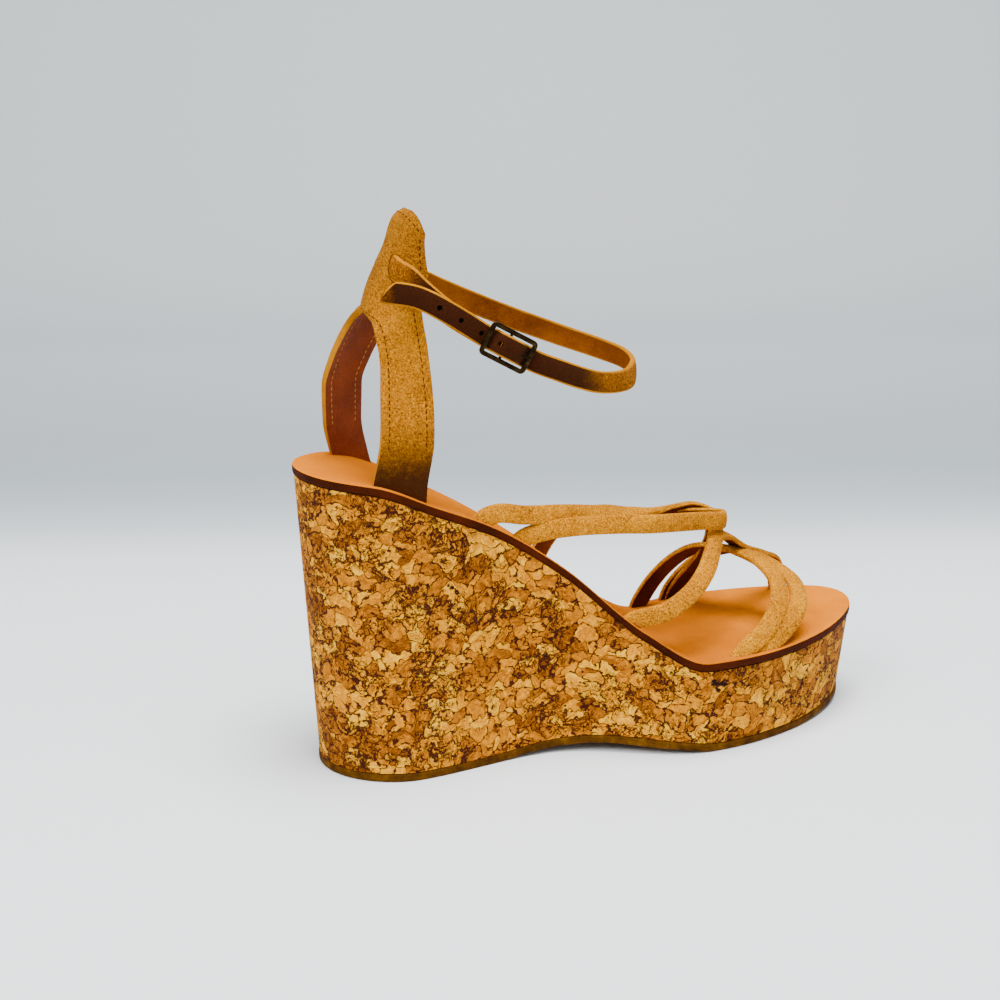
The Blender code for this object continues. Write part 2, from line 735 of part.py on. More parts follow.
def prong_points(start):
    """Middle line of the prong: its eye round the centre bar, then out through the strap to the end bar."""
    bar = buckle_levels()[2]
    radius = BAR_RADIUS + BAR_CLEARANCE + PRONG_DIAMETER / 2
    reach = BUCKLE_LENGTH / 2 - BUCKLE_BAR_WIDTH / 2
    rest = BUCKLE_BAR_DEPTH / 2 + PRONG_DIAMETER / 2 + BAR_CLEARANCE
    eye = arc((0, bar), radius, start, 30, 8)
    return eye + [(reach * PRONG_BEND, 0, rest / 2), (reach * PRONG_FLAT, 0, rest), (reach + PRONG_PAST, 0, rest)]


def placed_cylinder(name, place, direction, radius, length, collection):
    """Cylinder about a place, along a direction."""
    bm = bmesh.new()
    turn = Vector(direction).to_track_quat("Z", "Y").to_matrix().to_4x4()
    turn.translation = Vector(place)
    bmesh.ops.create_cone(
        bm, segments=16, radius1=radius, radius2=radius, depth=length, cap_ends=True, matrix=turn
    )
    return new_object(name, finished_mesh(name, bm), collection)


def material(obj, name, color, roughness, metallic=0.0):
    """Plain material of one piece."""
    mat = bpy.data.materials.new(name)
    mat.use_nodes = True
    shader = mat.node_tree.nodes["Principled BSDF"]
    shader.inputs["Base Color"].default_value = (*color, 1)
    shader.inputs["Roughness"].default_value = roughness
    shader.inputs["Metallic"].default_value = metallic
    obj.data.materials.append(mat)


for old in list(bpy.data.objects):
    bpy.data.objects.remove(old)

shoe = bpy.data.collections.new("platform_sandal")
cutters = bpy.data.collections.new("cutters")
bpy.context.scene.collection.children.link(shoe)
bpy.context.scene.collection.children.link(cutters)
sandal = bpy.data.objects.new("sandal", None)
shoe.objects.link(sandal)
outline = [edges(k / 200) for k in range(201)]
widest = min(pair[0] for pair in outline) + max(pair[1] for pair in outline)
sandal.location = (-SOLE_LENGTH / 2, -widest / 2, 0)

# Sole: footbed cover, wedge and outsole
insole = slab(
    "insole",
    shoe,
    [
        lambda t, back=back, depth=depth: footbed_edge(t, back, depth)
        for back, depth in rounded_rim(INSOLE_ROUND, INSOLE_THICKNESS)
    ],
)
cork_wedge = slab(
    "cork_wedge",
    shoe,
    [
        lambda t: footbed_edge(t, CORK_STEP, INSOLE_THICKNESS + GAP),
        lambda t: tread_edge(t, 0, OUTSOLE_THICKNESS + GAP),
    ],
)
outsole = slab(
    "outsole",
    shoe,
    [
        lambda t, back=back, depth=depth: tread_edge(t, RUBBER_STEP - back, OUTSOLE_THICKNESS - depth)
        for back, depth in rounded_rim(OUTSOLE_ROUND, OUTSOLE_THICKNESS)
    ],
)

# What lies under the footbed cover, to end the straps there
below = slab(
    "below",
    cutters,
    [
        lambda t: footbed_edge(t, 0, INSOLE_THICKNESS),
        lambda t: footbed_edge(t, 0, INSOLE_THICKNESS + 4 * STRAP_TAIL),
    ],
)

# Straps over the forefoot, joined where they cross
vamp_tables = {
    "instep strap": (INSTEP_STRAP, STRAP_WIDTH),
    "rear strap": (REAR_STRAP, STRAP_WIDTH),
    "cross strap": (CROSS_STRAP, STRAP_WIDTH),
    "rear toe strap": (TOE_STRAP_REAR, TOE_STRAP_WIDTH),
    "front toe strap": (TOE_STRAP_FRONT, TOE_STRAP_WIDTH),
}
vamp_straps = None
for name, (table, width) in vamp_tables.items():
    path = vamp_path(table)
    if vamp_straps is None:
        vamp_straps = ribbon("vamp_straps", shoe, path, width, STRAP_THICKNESS)
    else:
        cut(vamp_straps, ribbon(name, cutters, path, width, STRAP_THICKNESS), "UNION")
    for end, ordered in (("outer", path), ("inner", [part[::-1] for part in path])):
        lifts = np.array([z - footbed_height(x, y) for x, y, z in ordered[0]])
        count = int(np.argmax(lifts > SLIT_RISE)) + 1
        root = [part[:count] for part in ordered]
        cut(insole, ribbon(f"{name}, {end} slit", cutters, root, width, STRAP_THICKNESS, SLIT_CLEARANCE))
cut(vamp_straps, below)

# Counter behind the heel
heel_counter = new_object("heel_counter", counter_mesh("heel_counter"), shoe)
thickened(heel_counter, COUNTER_WALL, COUNTER_ROUND)
counter_slits = new_object("counter slits", counter_mesh("counter slits", 2 * SLIT_CLEARANCE), cutters)
thickened(counter_slits, COUNTER_WALL + 2 * SLIT_CLEARANCE)
cut(insole, counter_slits)
cut(heel_counter, below)

# Ankle strap
path = ankle_path()
ankle_strap = ribbon("ankle_strap", shoe, path, ANKLE_STRAP_WIDTH, ANKLE_STRAP_THICKNESS, 0.0, TIP_SLANT)
half_way = len(path[0]) // 2
behind = [i for i in range(half_way) if path[0][i, 0] < SLITS_END * SOLE_LENGTH]
through = [part[behind[0] : behind[-1] + 1] for part in path]
strap_slits = ribbon(
    "strap slits", cutters, through, ANKLE_STRAP_WIDTH, ANKLE_STRAP_THICKNESS, SLIT_CLEARANCE
)
cut(heel_counter, strap_slits)

# Buckle
buckle_curve = bpy.data.curves.new("buckle_frame", "CURVE")
buckle_curve.dimensions = "2D"
buckle_curve.fill_mode = "BOTH"
for inset, corner in ((BUCKLE_ROUND, BUCKLE_CORNER), (BUCKLE_BAR_WIDTH - BUCKLE_ROUND, BUCKLE_WINDOW_CORNER)):
    rounded_rectangle(buckle_curve, BUCKLE_LENGTH - 2 * inset, BUCKLE_HEIGHT - 2 * inset, corner)
buckle_curve.extrude = BUCKLE_BAR_DEPTH / 2 - BUCKLE_ROUND
buckle_curve.bevel_depth = BUCKLE_ROUND
buckle_curve.bevel_resolution = 1
buckle_frame = at_the_buckle("buckle_frame", buckle_curve, shoe)
side = BUCKLE_HEIGHT / 2 - BUCKLE_BAR_WIDTH / 2
level = buckle_levels()[2]
staple = wire(
    "centre bar",
    [(0, -side, 0), (0, -side, level + STAPLE_ROUND), (0, STAPLE_ROUND - side, level)]
    + [(0, side - STAPLE_ROUND, level), (0, side, level + STAPLE_ROUND), (0, side, 0)],
    BAR_RADIUS,
    2,
)
cut(buckle_frame, at_the_buckle("centre bar", staple, cutters), "UNION")
prong = wire("prong", prong_points(290), PRONG_DIAMETER / 2, 2)
buckle_prong = at_the_buckle("buckle_prong", prong, shoe)
wide = wire("prong hole", prong_points(310), PRONG_DIAMETER / 2 + SLIT_CLEARANCE, 2)
cut(ankle_strap, at_the_buckle("prong hole", wide, cutters))

# Holes of the strap, from the prong's towards the tip
points, ahead, face = path
lengths = np.concatenate([[0], np.cumsum(np.linalg.norm(np.diff(points, axis=0), axis=1))])
prong_hole = buckle_point(PRONG_HOLE * (BUCKLE_LENGTH - BUCKLE_BAR_WIDTH) / 2, 0, 0)
late = np.where(lengths > lengths[-1] * 0.7)[0]
nearest = late[np.argmin(np.linalg.norm(points[late] - prong_hole, axis=1))]
for k in range(1, HOLE_COUNT):
    at = lengths[nearest] + k * HOLE_PITCH
    place = [np.interp(at, lengths, points[:, c]) for c in range(3)]
    out = [np.interp(at, lengths, face[:, c]) for c in range(3)]
    hole = placed_cylinder(
        f"hole {k}", place, out, HOLE_DIAMETER / 2, ANKLE_STRAP_THICKNESS + 0.0012, cutters
    )
    cut(ankle_strap, hole)

material(insole, "insole_leather", (0.62, 0.30, 0.11), 0.45)
material(cork_wedge, "agglomerated_cork", (0.58, 0.36, 0.14), 0.75)
material(outsole, "brown_rubber", (0.17, 0.08, 0.035), 0.7)
material(heel_counter, "camel_suede", (0.52, 0.26, 0.055), 0.9)
material(vamp_straps, "camel_suede_straps", (0.52, 0.26, 0.055), 0.9)
material(ankle_strap, "camel_suede_ankle", (0.52, 0.26, 0.055), 0.9)
material(buckle_frame, "dark_brass", (0.20, 0.12, 0.05), 0.4, 1.0)
material(buckle_prong, "dark_brass_wire", (0.20, 0.12, 0.05), 0.4, 1.0)

for helper in cutters.objects:
    helper.hide_render = True
    helper.display_type = "WIRE"
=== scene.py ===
import math

import bpy
import numpy as np
from mathutils import Matrix, Vector


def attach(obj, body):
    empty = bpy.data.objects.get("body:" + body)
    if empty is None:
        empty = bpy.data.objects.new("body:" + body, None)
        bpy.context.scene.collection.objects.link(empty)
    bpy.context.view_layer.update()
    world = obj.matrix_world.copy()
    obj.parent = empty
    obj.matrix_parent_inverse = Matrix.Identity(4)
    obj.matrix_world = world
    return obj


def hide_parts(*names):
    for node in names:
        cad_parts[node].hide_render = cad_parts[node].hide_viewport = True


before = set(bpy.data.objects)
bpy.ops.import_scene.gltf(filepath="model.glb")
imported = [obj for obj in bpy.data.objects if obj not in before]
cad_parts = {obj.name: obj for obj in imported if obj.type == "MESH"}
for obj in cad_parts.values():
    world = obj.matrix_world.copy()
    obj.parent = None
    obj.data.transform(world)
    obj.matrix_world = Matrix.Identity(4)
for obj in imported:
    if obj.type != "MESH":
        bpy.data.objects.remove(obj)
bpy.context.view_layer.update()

# Sole
sole = {
    "length": 0.240,
    "heelHalfWidth": 0.0338,
    "waistOuter": 0.0235,
    "waistInner": 0.0185,
    "ballOuter": 0.0460,
    "ballInner": 0.0380,
    "toeDrift": 0.0110,
    "heelRound": 0.0350,
    "heelHeight": 0.1220,
    "platformHeight": 0.0397,
    "waistCant": 0.0030,
    "insoleThickness": 0.0038,
    "outsoleThickness": 0.0034,
    "archRise": 0.0040,
    "toeSpring": 0.0026,
    "heelRake": 0.0062,
    "toeRake": 0.0047,
    "sideRake": 0.0042,
    "slitInset": 0.0032,
    "instepRise": 0.0500,
}
length = sole["length"]
outerEdge = [(0, "heelHalfWidth", 1), (0.12, "heelHalfWidth", 1), (0.38, "waistOuter", 1),
             (0.66, "ballOuter", 1), (0.84, "ballOuter", 0.93), (1, "ballOuter", 0.80)]
innerEdge = [(0, "heelHalfWidth", 1), (0.12, "heelHalfWidth", 1), (0.38, "waistInner", 1),
             (0.70, "ballInner", 1), (0.86, "ballInner", 0.95), (1, "ballInner", 0.85)]
footbedProfile = [(0, 1), (0.10, 0.968), (0.20, 0.845), (0.30, 0.705), (0.42, 0.465),
                  (0.54, 0.155), (0.64, 0), (0.74, 0), (0.87, 0.012), (1, 0.040)]
treadProfile = [(0, 0, 0), (0.27, 0, 0), (0.38, 0.55, 0), (0.48, 1, 0), (0.58, 0.60, 0),
                (0.68, 0, 0), (0.83, 0, 0), (0.93, 0, 0.45), (1, 0, 1)]
cantProfile = [(0, 0), (0.15, 0.5), (0.35, 1), (0.55, 1), (0.75, 0), (1, 0)]


def curveThrough(table, at, column=1):
    # smooth curve through a table's rows that never overshoots them
    knots = np.array([row[0] for row in table], float)
    values = np.array([row[column] for row in table], float)
    steps = np.diff(knots)
    slopes = np.diff(values) / steps
    tangents = np.zeros(len(knots))
    for i in range(1, len(knots) - 1):
        before, after = slopes[i - 1], slopes[i]
        if before * after > 0:
            near = 2 * steps[i] + steps[i - 1]
            far = steps[i] + 2 * steps[i - 1]
            tangents[i] = (near + far) / (near / before + far / after)
    tangents[0], tangents[-1] = slopes[0], slopes[-1]
    at = np.clip(at, knots[0], knots[-1])
    span = np.clip(np.searchsorted(knots, at, side="right") - 1, 0, len(steps) - 1)
    s = (at - knots[span]) / steps[span]
    step = steps[span]
    start = (1 + 2 * s) * (1 - s) ** 2 * values[span] + s * (1 - s) ** 2 * step * tangents[span]
    end = s**2 * (3 - 2 * s) * values[span + 1] + s**2 * (s - 1) * step * tangents[span + 1]
    return start + end


def halfWidth(table, t):
    return curveThrough([(row[0], sole[row[1]] * row[2]) for row in table], t)


def endRounding(t):
    heelShare = sole["heelRound"] / length
    heel = np.sqrt(np.clip(1 - (1 - np.minimum(t / heelShare, 1)) ** 2, 0, 1))
    past = np.clip((t - 0.68) / 0.32, 0, 1)
    return heel * np.clip(1 - past**2.17, 0, 1) ** (1 / 2.17)


def centreDrift(t):
    return sole["toeDrift"] * np.clip((t - 0.55) / 0.45, 0, 1) ** 1.5


def edgesAt(t, inset=0.0):
    rounding = endRounding(t)
    outer = -np.maximum(0, halfWidth(outerEdge, t) * rounding - inset)
    inner = np.maximum(0, halfWidth(innerEdge, t) * rounding - inset)
    return outer + centreDrift(t), inner + centreDrift(t)


def footbedHeight(x, y):
    t = np.clip(x / length, 0, 1)
    outer, inner = edgesAt(t)
    reach = np.clip((y - outer) / np.maximum(inner - outer, 1e-6), 0, 1)
    cant = sole["waistCant"] * curveThrough(cantProfile, t) * reach
    fall = sole["heelHeight"] - sole["platformHeight"]
    return sole["platformHeight"] + fall * curveThrough(footbedProfile, t) - cant


def treadHeight(t):
    return sole["archRise"] * curveThrough(treadProfile, t) + sole["toeSpring"] * curveThrough(treadProfile, t, 2)


outerLine, innerLine = edgesAt(np.linspace(0, 1, 201))
sideMiddle = (outerLine.min() + innerLine.max()) / 2
toWorld = np.array([-length / 2, -sideMiddle, 0])    # from the back of the heel to the middle of the outline

# Camera
camera = {
    "place": (-0.11317, -0.64910, 0.28615),          # from the back of the heel
    "yaw": 0.2918,
    "pitch": 0.2666,
    "roll": -0.0113,
    "lens": 63.98,
}
yaw, pitch, roll = camera["yaw"], camera["pitch"], camera["roll"]
level = Vector((math.sin(yaw), math.cos(yaw), 0))
sideways = Vector((math.cos(yaw), -math.sin(yaw), 0))
upright = Vector((0, 0, 1))
forward = level * math.cos(pitch) - upright * math.sin(pitch)
lifted = upright * math.cos(pitch) + level * math.sin(pitch)
right = sideways * math.cos(roll) + lifted * math.sin(roll)
up = lifted * math.cos(roll) - sideways * math.sin(roll)
cameraData = bpy.data.cameras.new("camera")
cameraData.lens = camera["lens"]
cameraData.clip_start = 0.01
cameraObject = bpy.data.objects.new("camera", cameraData)
bpy.context.scene.collection.objects.link(cameraObject)
turn = Matrix((right, up, -forward)).transposed().to_4x4()
cameraObject.matrix_world = Matrix.Translation(Vector(camera["place"]) + Vector(toWorld)) @ turn
bpy.context.scene.camera = cameraObject
print("camera set")


# Materials


def newMaterial(name, roughness=0.6, metallic=0.0, sheen=0.0, sheenTint=(1, 1, 1), specular=0.5):
    mat = bpy.data.materials.new(name)
    mat.use_nodes = True
    shader = mat.node_tree.nodes["Principled BSDF"]
    shader.inputs["Roughness"].default_value = roughness
    shader.inputs["Metallic"].default_value = metallic
    shader.inputs["Specular IOR Level"].default_value = specular
    shader.inputs["Sheen Weight"].default_value = sheen
    shader.inputs["Sheen Tint"].default_value = (*sheenTint, 1)
    return mat, mat.node_tree, shader


def newGroup(name, inputs, outputs):
    group = bpy.data.node_groups.new(name, "ShaderNodeTree")
    for label, kind, value in inputs:
        socket = group.interface.new_socket(label, in_out="INPUT", socket_type=kind)
        if value is not None:
            socket.default_value = value
    for label, kind in outputs:
        group.interface.new_socket(label, in_out="OUTPUT", socket_type=kind)
    start = group.nodes.new("NodeGroupInput")
    end = group.nodes.new("NodeGroupOutput")
    return group, start, end


def noiseNode(tree, vector, scale, detail=4.0, rough=0.55, distortion=0.0):
    node = tree.nodes.new("ShaderNodeTexNoise")
    node.inputs["Scale"].default_value = scale
    node.inputs["Detail"].default_value = detail
    node.inputs["Roughness"].default_value = rough
    node.inputs["Distortion"].default_value = distortion
    if vector is not None:
        tree.links.new(vector, node.inputs["Vector"])
    return node


def rampNode(tree, factor, stops, mode="LINEAR"):
    node = tree.nodes.new("ShaderNodeValToRGB")
    node.color_ramp.interpolation = mode
    elements = node.color_ramp.elements
    while len(elements) < len(stops):
        elements.new(0.5)
    for element, (place, color) in zip(elements, stops):
        element.position = place
        element.color = (*color, 1) if len(color) == 3 else color
    tree.links.new(factor, node.inputs["Fac"])
    return node


def mathNode(tree, kind, a, b=None, c=None, clamp=False):
    node = tree.nodes.new("ShaderNodeMath")
    node.operation = kind
    node.use_clamp = clamp
    for socket, value in zip(node.inputs, (a, b, c)):
        if value is None:
            continue
        if isinstance(value, (int, float)):
            socket.default_value = value
        else:
            tree.links.new(value, socket)
    return node.outputs[0]


def mixColor(tree, factor, a, b, kind="MIX"):
    node = tree.nodes.new("ShaderNodeMix")
    node.data_type = "RGBA"
    node.blend_type = kind
    for socket, value in ((node.inputs[0], factor), (node.inputs[6], a), (node.inputs[7], b)):
        if isinstance(value, (int, float)):
            socket.default_value = value
        elif isinstance(value, tuple):
            socket.default_value = (*value, 1)
        else:
            tree.links.new(value, socket)
    return node.outputs[2]


def mapRange(tree, value, low, high, toLow=0.0, toHigh=1.0, smooth=True):
    node = tree.nodes.new("ShaderNodeMapRange")
    node.interpolation_type = "SMOOTHSTEP" if smooth else "LINEAR"
    node.inputs["From Min"].default_value = low
    node.inputs["From Max"].default_value = high
    node.inputs["To Min"].default_value = toLow
    node.inputs["To Max"].default_value = toHigh
    tree.links.new(value, node.inputs["Value"])
    return node.outputs[0]


def addBump(tree, shader, height, distance, strength=1.0):
    bump = tree.nodes.new("ShaderNodeBump")
    bump.inputs["Strength"].default_value = strength
    bump.inputs["Distance"].default_value = distance
    tree.links.new(height, bump.inputs["Height"])
    tree.links.new(bump.outputs["Normal"], shader.inputs["Normal"])
    return bump


def objectCoords(tree):
    return tree.nodes.new("ShaderNodeTexCoord").outputs["Object"]


def linear(r, g, b):
    # screen colour, 0 to 255, as the linear value that a shader takes
    return tuple((c / 255 / 12.92) if c / 255 <= 0.04045 else ((c / 255 + 0.055) / 1.055) ** 2.4 for c in (r, g, b))


# Brushed nap, used by every suede piece
suedeGroup, start, end = newGroup(
    "brushedSuede",
    [("Vector", "NodeSocketVector", None), ("Dark", "NodeSocketColor", None), ("Middle", "NodeSocketColor", None),
     ("Light", "NodeSocketColor", None), ("Darken", "NodeSocketColor", None), ("Darkened", "NodeSocketFloat", 0.0)],
    [("Color", "NodeSocketColor"), ("Height", "NodeSocketFloat")],
)
vector = start.outputs["Vector"]
clouds = noiseNode(suedeGroup, vector, 60, 3, 0.6)
mottle = noiseNode(suedeGroup, vector, 620, 3, 0.6)
nap = noiseNode(suedeGroup, vector, 1500, 3, 0.7, 0.3)
fibre = noiseNode(suedeGroup, vector, 4200, 2, 0.6)
mixed = mathNode(suedeGroup, "MULTIPLY", clouds.outputs["Fac"], 0.20)
mixed = mathNode(suedeGroup, "MULTIPLY_ADD", mottle.outputs["Fac"], 0.12, mixed)
mixed = mathNode(suedeGroup, "MULTIPLY_ADD", nap.outputs["Fac"], 0.76, mixed)
low = mapRange(suedeGroup, mixed, 0.41, 0.56)
high = mapRange(suedeGroup, mixed, 0.55, 0.70)
color = mixColor(suedeGroup, low, start.outputs["Dark"], start.outputs["Middle"])
color = mixColor(suedeGroup, high, color, start.outputs["Light"])
color = mixColor(suedeGroup, start.outputs["Darkened"], color, start.outputs["Darken"])
suedeGroup.links.new(color, end.inputs["Color"])
height = mathNode(suedeGroup, "MULTIPLY", nap.outputs["Fac"], 0.8)
height = mathNode(suedeGroup, "MULTIPLY_ADD", fibre.outputs["Fac"], 0.35, height)
height = mathNode(suedeGroup, "MULTIPLY_ADD", mottle.outputs["Fac"], 0.6, height)
suedeGroup.links.new(height, end.inputs["Height"])


def suedeMaterial(name, dark=(100, 52, 0), middle=(162, 98, 0), light=(212, 142, 0), darkening=None):
    mat, tree, shader = newMaterial(name, 0.95, 0.0, 0.05, (1.0, 0.55, 0.10), 0.06)
    coords = objectCoords(tree)
    nap = tree.nodes.new("ShaderNodeGroup")
    nap.node_tree = suedeGroup
    tree.links.new(coords, nap.inputs["Vector"])
    for socket, value in (("Dark", dark), ("Middle", middle), ("Light", light), ("Darken", (42, 13, 4))):
        nap.inputs[socket].default_value = (*linear(*value), 1)
    if darkening:
        darkening(tree, coords, nap)
    tree.links.new(nap.outputs["Color"], shader.inputs["Base Color"])
    addBump(tree, shader, nap.outputs["Height"], 0.0006, 0.9)
    return mat


def darkFoot(tree, coords, nap):
    # the legs are darker towards the bottom, where they leave the footbed, and the tab is a little darker towards its
    # top
    split = tree.nodes.new("ShaderNodeSeparateXYZ")
    tree.links.new(coords, split.inputs[0])
    patch = noiseNode(tree, coords, 420, 5, 0.75)
    height = mathNode(tree, "MULTIPLY_ADD", patch.outputs["Fac"], -0.016, split.outputs["Z"])
    foot = mapRange(tree, height, 0.112, 0.136, 0.96, 0.0)
    top = mapRange(tree, split.outputs["Z"], 0.172, 0.200, 0.0, 0.30)
    tree.links.new(mathNode(tree, "MAXIMUM", foot, top), nap.inputs["Darkened"])


def handledEnd(tree, coords, nap):
    # the buckled end has gone dark with handling
    split = tree.nodes.new("ShaderNodeSeparateXYZ")
    tree.links.new(coords, split.inputs[0])
    patch = noiseNode(tree, coords, 170, 4, 0.65)
    along = mathNode(tree, "MULTIPLY_ADD", patch.outputs["Fac"], 0.016, split.outputs["X"])
    ahead = mapRange(tree, along, -0.085, -0.075)
    behind = mapRange(tree, along, -0.006, 0.014, 1.0, 0.0)
    outside = mapRange(tree, split.outputs["Y"], -0.012, -0.019)
    darkening = mathNode(tree, "MULTIPLY", mathNode(tree, "MULTIPLY", ahead, behind), outside)
    tree.links.new(mathNode(tree, "MULTIPLY", darkening, 0.97), nap.inputs["Darkened"])


def leatherMaterial(name, dark, light, roughness=0.45, grain=900, coat=0.0, depth=0.0002, specular=0.3, shadeAndWear=None):
    mat, tree, shader = newMaterial(name, roughness, specular=specular)
    coords = objectCoords(tree)
    clouds = noiseNode(tree, coords, 45, 4, 0.6)
    fine = noiseNode(tree, coords, grain * 1.3, 3, 0.6)
    mixed = mathNode(tree, "MULTIPLY", clouds.outputs["Fac"], 0.65)
    mixed = mathNode(tree, "MULTIPLY_ADD", fine.outputs["Fac"], 0.35, mixed)
    color = rampNode(tree, mixed, [(0.35, linear(*dark)), (0.65, linear(*light))]).outputs["Color"]
    if shadeAndWear:
        # darker at the heel and under the straps at the ball, lightest at the toe: painted shade of the heel counter
        # and the straps, mixed with wear where the foot presses
        split = tree.nodes.new("ShaderNodeSeparateXYZ")
        tree.links.new(coords, split.inputs[0])
        along = mathNode(tree, "MULTIPLY_ADD", clouds.outputs["Fac"], 0.02, split.outputs["X"])
        shadeAndFootprint = rampNode(tree, mapRange(tree, along, -0.11, 0.13, smooth=False), [
            (0.00, (0.2, 0.2, 0.2)),
            (0.15, (0.9, 0.9, 0.9)),
            (0.40, (0.35, 0.35, 0.35)),
            (0.66, (1.0, 1.0, 1.0)),
            (0.82, (0.15, 0.15, 0.15)),
            (1.00, (0.0, 0.0, 0.0)),
        ])
        color = mixColor(tree, mathNode(tree, "MULTIPLY", shadeAndFootprint.outputs["Color"], 0.75), color, linear(*shadeAndWear))
    tree.links.new(color, shader.inputs["Base Color"])
    cells = tree.nodes.new("ShaderNodeTexVoronoi")
    cells.feature = "DISTANCE_TO_EDGE"
    cells.inputs["Scale"].default_value = grain
    tree.links.new(coords, cells.inputs["Vector"])
    pores = mapRange(tree, cells.outputs["Distance"], 0.0, 0.25)
    height = mathNode(tree, "MULTIPLY_ADD", fine.outputs["Fac"], 0.5, pores)
    addBump(tree, shader, height, depth, 0.6)
    shader.inputs["Coat Weight"].default_value = coat
    shader.inputs["Coat Roughness"].default_value = 0.25
    return mat


def cellsOf(tree, vector, scale):
    # shade of each cell and the distance to its edge
    shade = tree.nodes.new("ShaderNodeTexVoronoi")
    edge = tree.nodes.new("ShaderNodeTexVoronoi")
    edge.feature = "DISTANCE_TO_EDGE"
    for node in (shade, edge):
        node.inputs["Scale"].default_value = scale
        tree.links.new(vector, node.inputs["Vector"])
    split = tree.nodes.new("ShaderNodeSeparateColor")
    tree.links.new(shade.outputs["Color"], split.inputs["Color"])
    return split.outputs, edge.outputs["Distance"]


def warped(tree, vector, scale, amount):
    noise = noiseNode(tree, vector, scale, 3, 0.6)
    push = tree.nodes.new("ShaderNodeVectorMath")
    push.operation = "MULTIPLY_ADD"
    push.inputs[1].default_value = (amount, amount, amount)
    tree.links.new(noise.outputs["Color"], push.inputs[0])
    tree.links.new(vector, push.inputs[2])
    return push.outputs[0]


def corkMaterial():
    # chips with streaks of their own, crumbs between them, dark broken seams and a few pits
    mat, tree, shader = newMaterial("agglomeratedCork", 0.8, specular=0.08)
    coords = objectCoords(tree)
    bent = warped(tree, warped(tree, coords, 100, 0.013), 420, 0.0026)
    stretch = tree.nodes.new("ShaderNodeMapping")
    stretch.inputs["Scale"].default_value = (1.0, 1.0, 1.3)
    tree.links.new(bent, stretch.inputs["Vector"])
    chip, chipEdge = cellsOf(tree, stretch.outputs["Vector"], 150)
    crumb, crumbEdge = cellsOf(tree, bent, 380)
    turned = tree.nodes.new("ShaderNodeVectorRotate")
    turned.rotation_type = "Y_AXIS"
    tree.links.new(bent, turned.inputs["Vector"])
    tree.links.new(mathNode(tree, "MULTIPLY", chip[2], 6.28), turned.inputs["Angle"])
    comb = tree.nodes.new("ShaderNodeMapping")
    comb.inputs["Scale"].default_value = (1.0, 0.5, 0.22)
    tree.links.new(turned.outputs["Vector"], comb.inputs["Vector"])
    streak = noiseNode(tree, comb.outputs["Vector"], 1500, 3, 0.7)
    patch = noiseNode(tree, coords, 62, 3, 0.6)
    middle = noiseNode(tree, bent, 300, 4, 0.65)
    speck = noiseNode(tree, coords, 1700, 3, 0.7)
    tone = mathNode(tree, "MULTIPLY", chip[0], 0.30)
    tone = mathNode(tree, "MULTIPLY_ADD", crumb[1], 0.10, tone)
    tone = mathNode(tree, "MULTIPLY_ADD", streak.outputs["Fac"], 0.50, tone)
    tone = mathNode(tree, "MULTIPLY_ADD", middle.outputs["Fac"], 0.42, tone)
    tone = mathNode(tree, "MULTIPLY_ADD", speck.outputs["Fac"], 0.18, tone)
    base = rampNode(tree, tone, [
        (0.46, linear(80, 34, 0)),
        (0.60, linear(130, 70, 0)),
        (0.71, linear(178, 104, 0)),
        (0.84, linear(216, 138, 2)),
        (0.97, linear(242, 180, 36)),
    ])
    gate = mapRange(tree, patch.outputs["Fac"], 0.45, 0.60)
    broken = mapRange(tree, middle.outputs["Fac"], 0.40, 0.60)
    seamWidth = mathNode(tree, "MULTIPLY_ADD", broken, 0.08, 0.015)
    seam = mapRange(tree, mathNode(tree, "DIVIDE", chipEdge, seamWidth), 0.35, 1.0, 1.0, 0.0)
    crackWidth = mathNode(tree, "MULTIPLY", mathNode(tree, "MULTIPLY_ADD", broken, -0.13, 0.15), gate)
    crackWidth = mathNode(tree, "ADD", crackWidth, 0.001)
    crack = mapRange(tree, mathNode(tree, "DIVIDE", crumbEdge, crackWidth), 0.35, 1.0, 1.0, 0.0)
    winding = noiseNode(tree, bent, 210, 4, 0.6, 1.2)
    ridge = mathNode(tree, "ABSOLUTE", mathNode(tree, "SUBTRACT", winding.outputs["Fac"], 0.5))
    squiggle = mapRange(tree, ridge, 0.008, 0.022, 1.0, 0.0)
    squiggle = mathNode(tree, "MULTIPLY", squiggle, gate)
    lines = mathNode(tree, "MAXIMUM", seam, mathNode(tree, "MAXIMUM", crack, squiggle))
    furrow = mapRange(tree, streak.outputs["Fac"], 0.32, 0.44, 0.40, 0.0)
    color = mixColor(tree, furrow, base.outputs["Color"], linear(98, 44, 0))
    color = mixColor(tree, mathNode(tree, "MULTIPLY", lines, 0.97), color, linear(46, 7, 6))
    pitNoise = noiseNode(tree, bent, 75, 2, 0.5)
    pitFine = noiseNode(tree, coords, 520, 3, 0.6)
    pits = mathNode(tree, "MULTIPLY_ADD", pitFine.outputs["Fac"], 0.40, pitNoise.outputs["Fac"])
    pit = mapRange(tree, pits, 0.91, 0.95)
    color = mixColor(tree, pit, color, linear(34, 10, 6))
    tree.links.new(color, shader.inputs["Base Color"])
    height = mathNode(tree, "MULTIPLY_ADD", lines, -0.8, mathNode(tree, "MULTIPLY", streak.outputs["Fac"], 0.5))
    height = mathNode(tree, "MULTIPLY_ADD", pit, -1.4, height)
    height = mathNode(tree, "MULTIPLY_ADD", chip[1], 0.3, height)
    addBump(tree, shader, height, 0.0007, 0.8)
    return mat


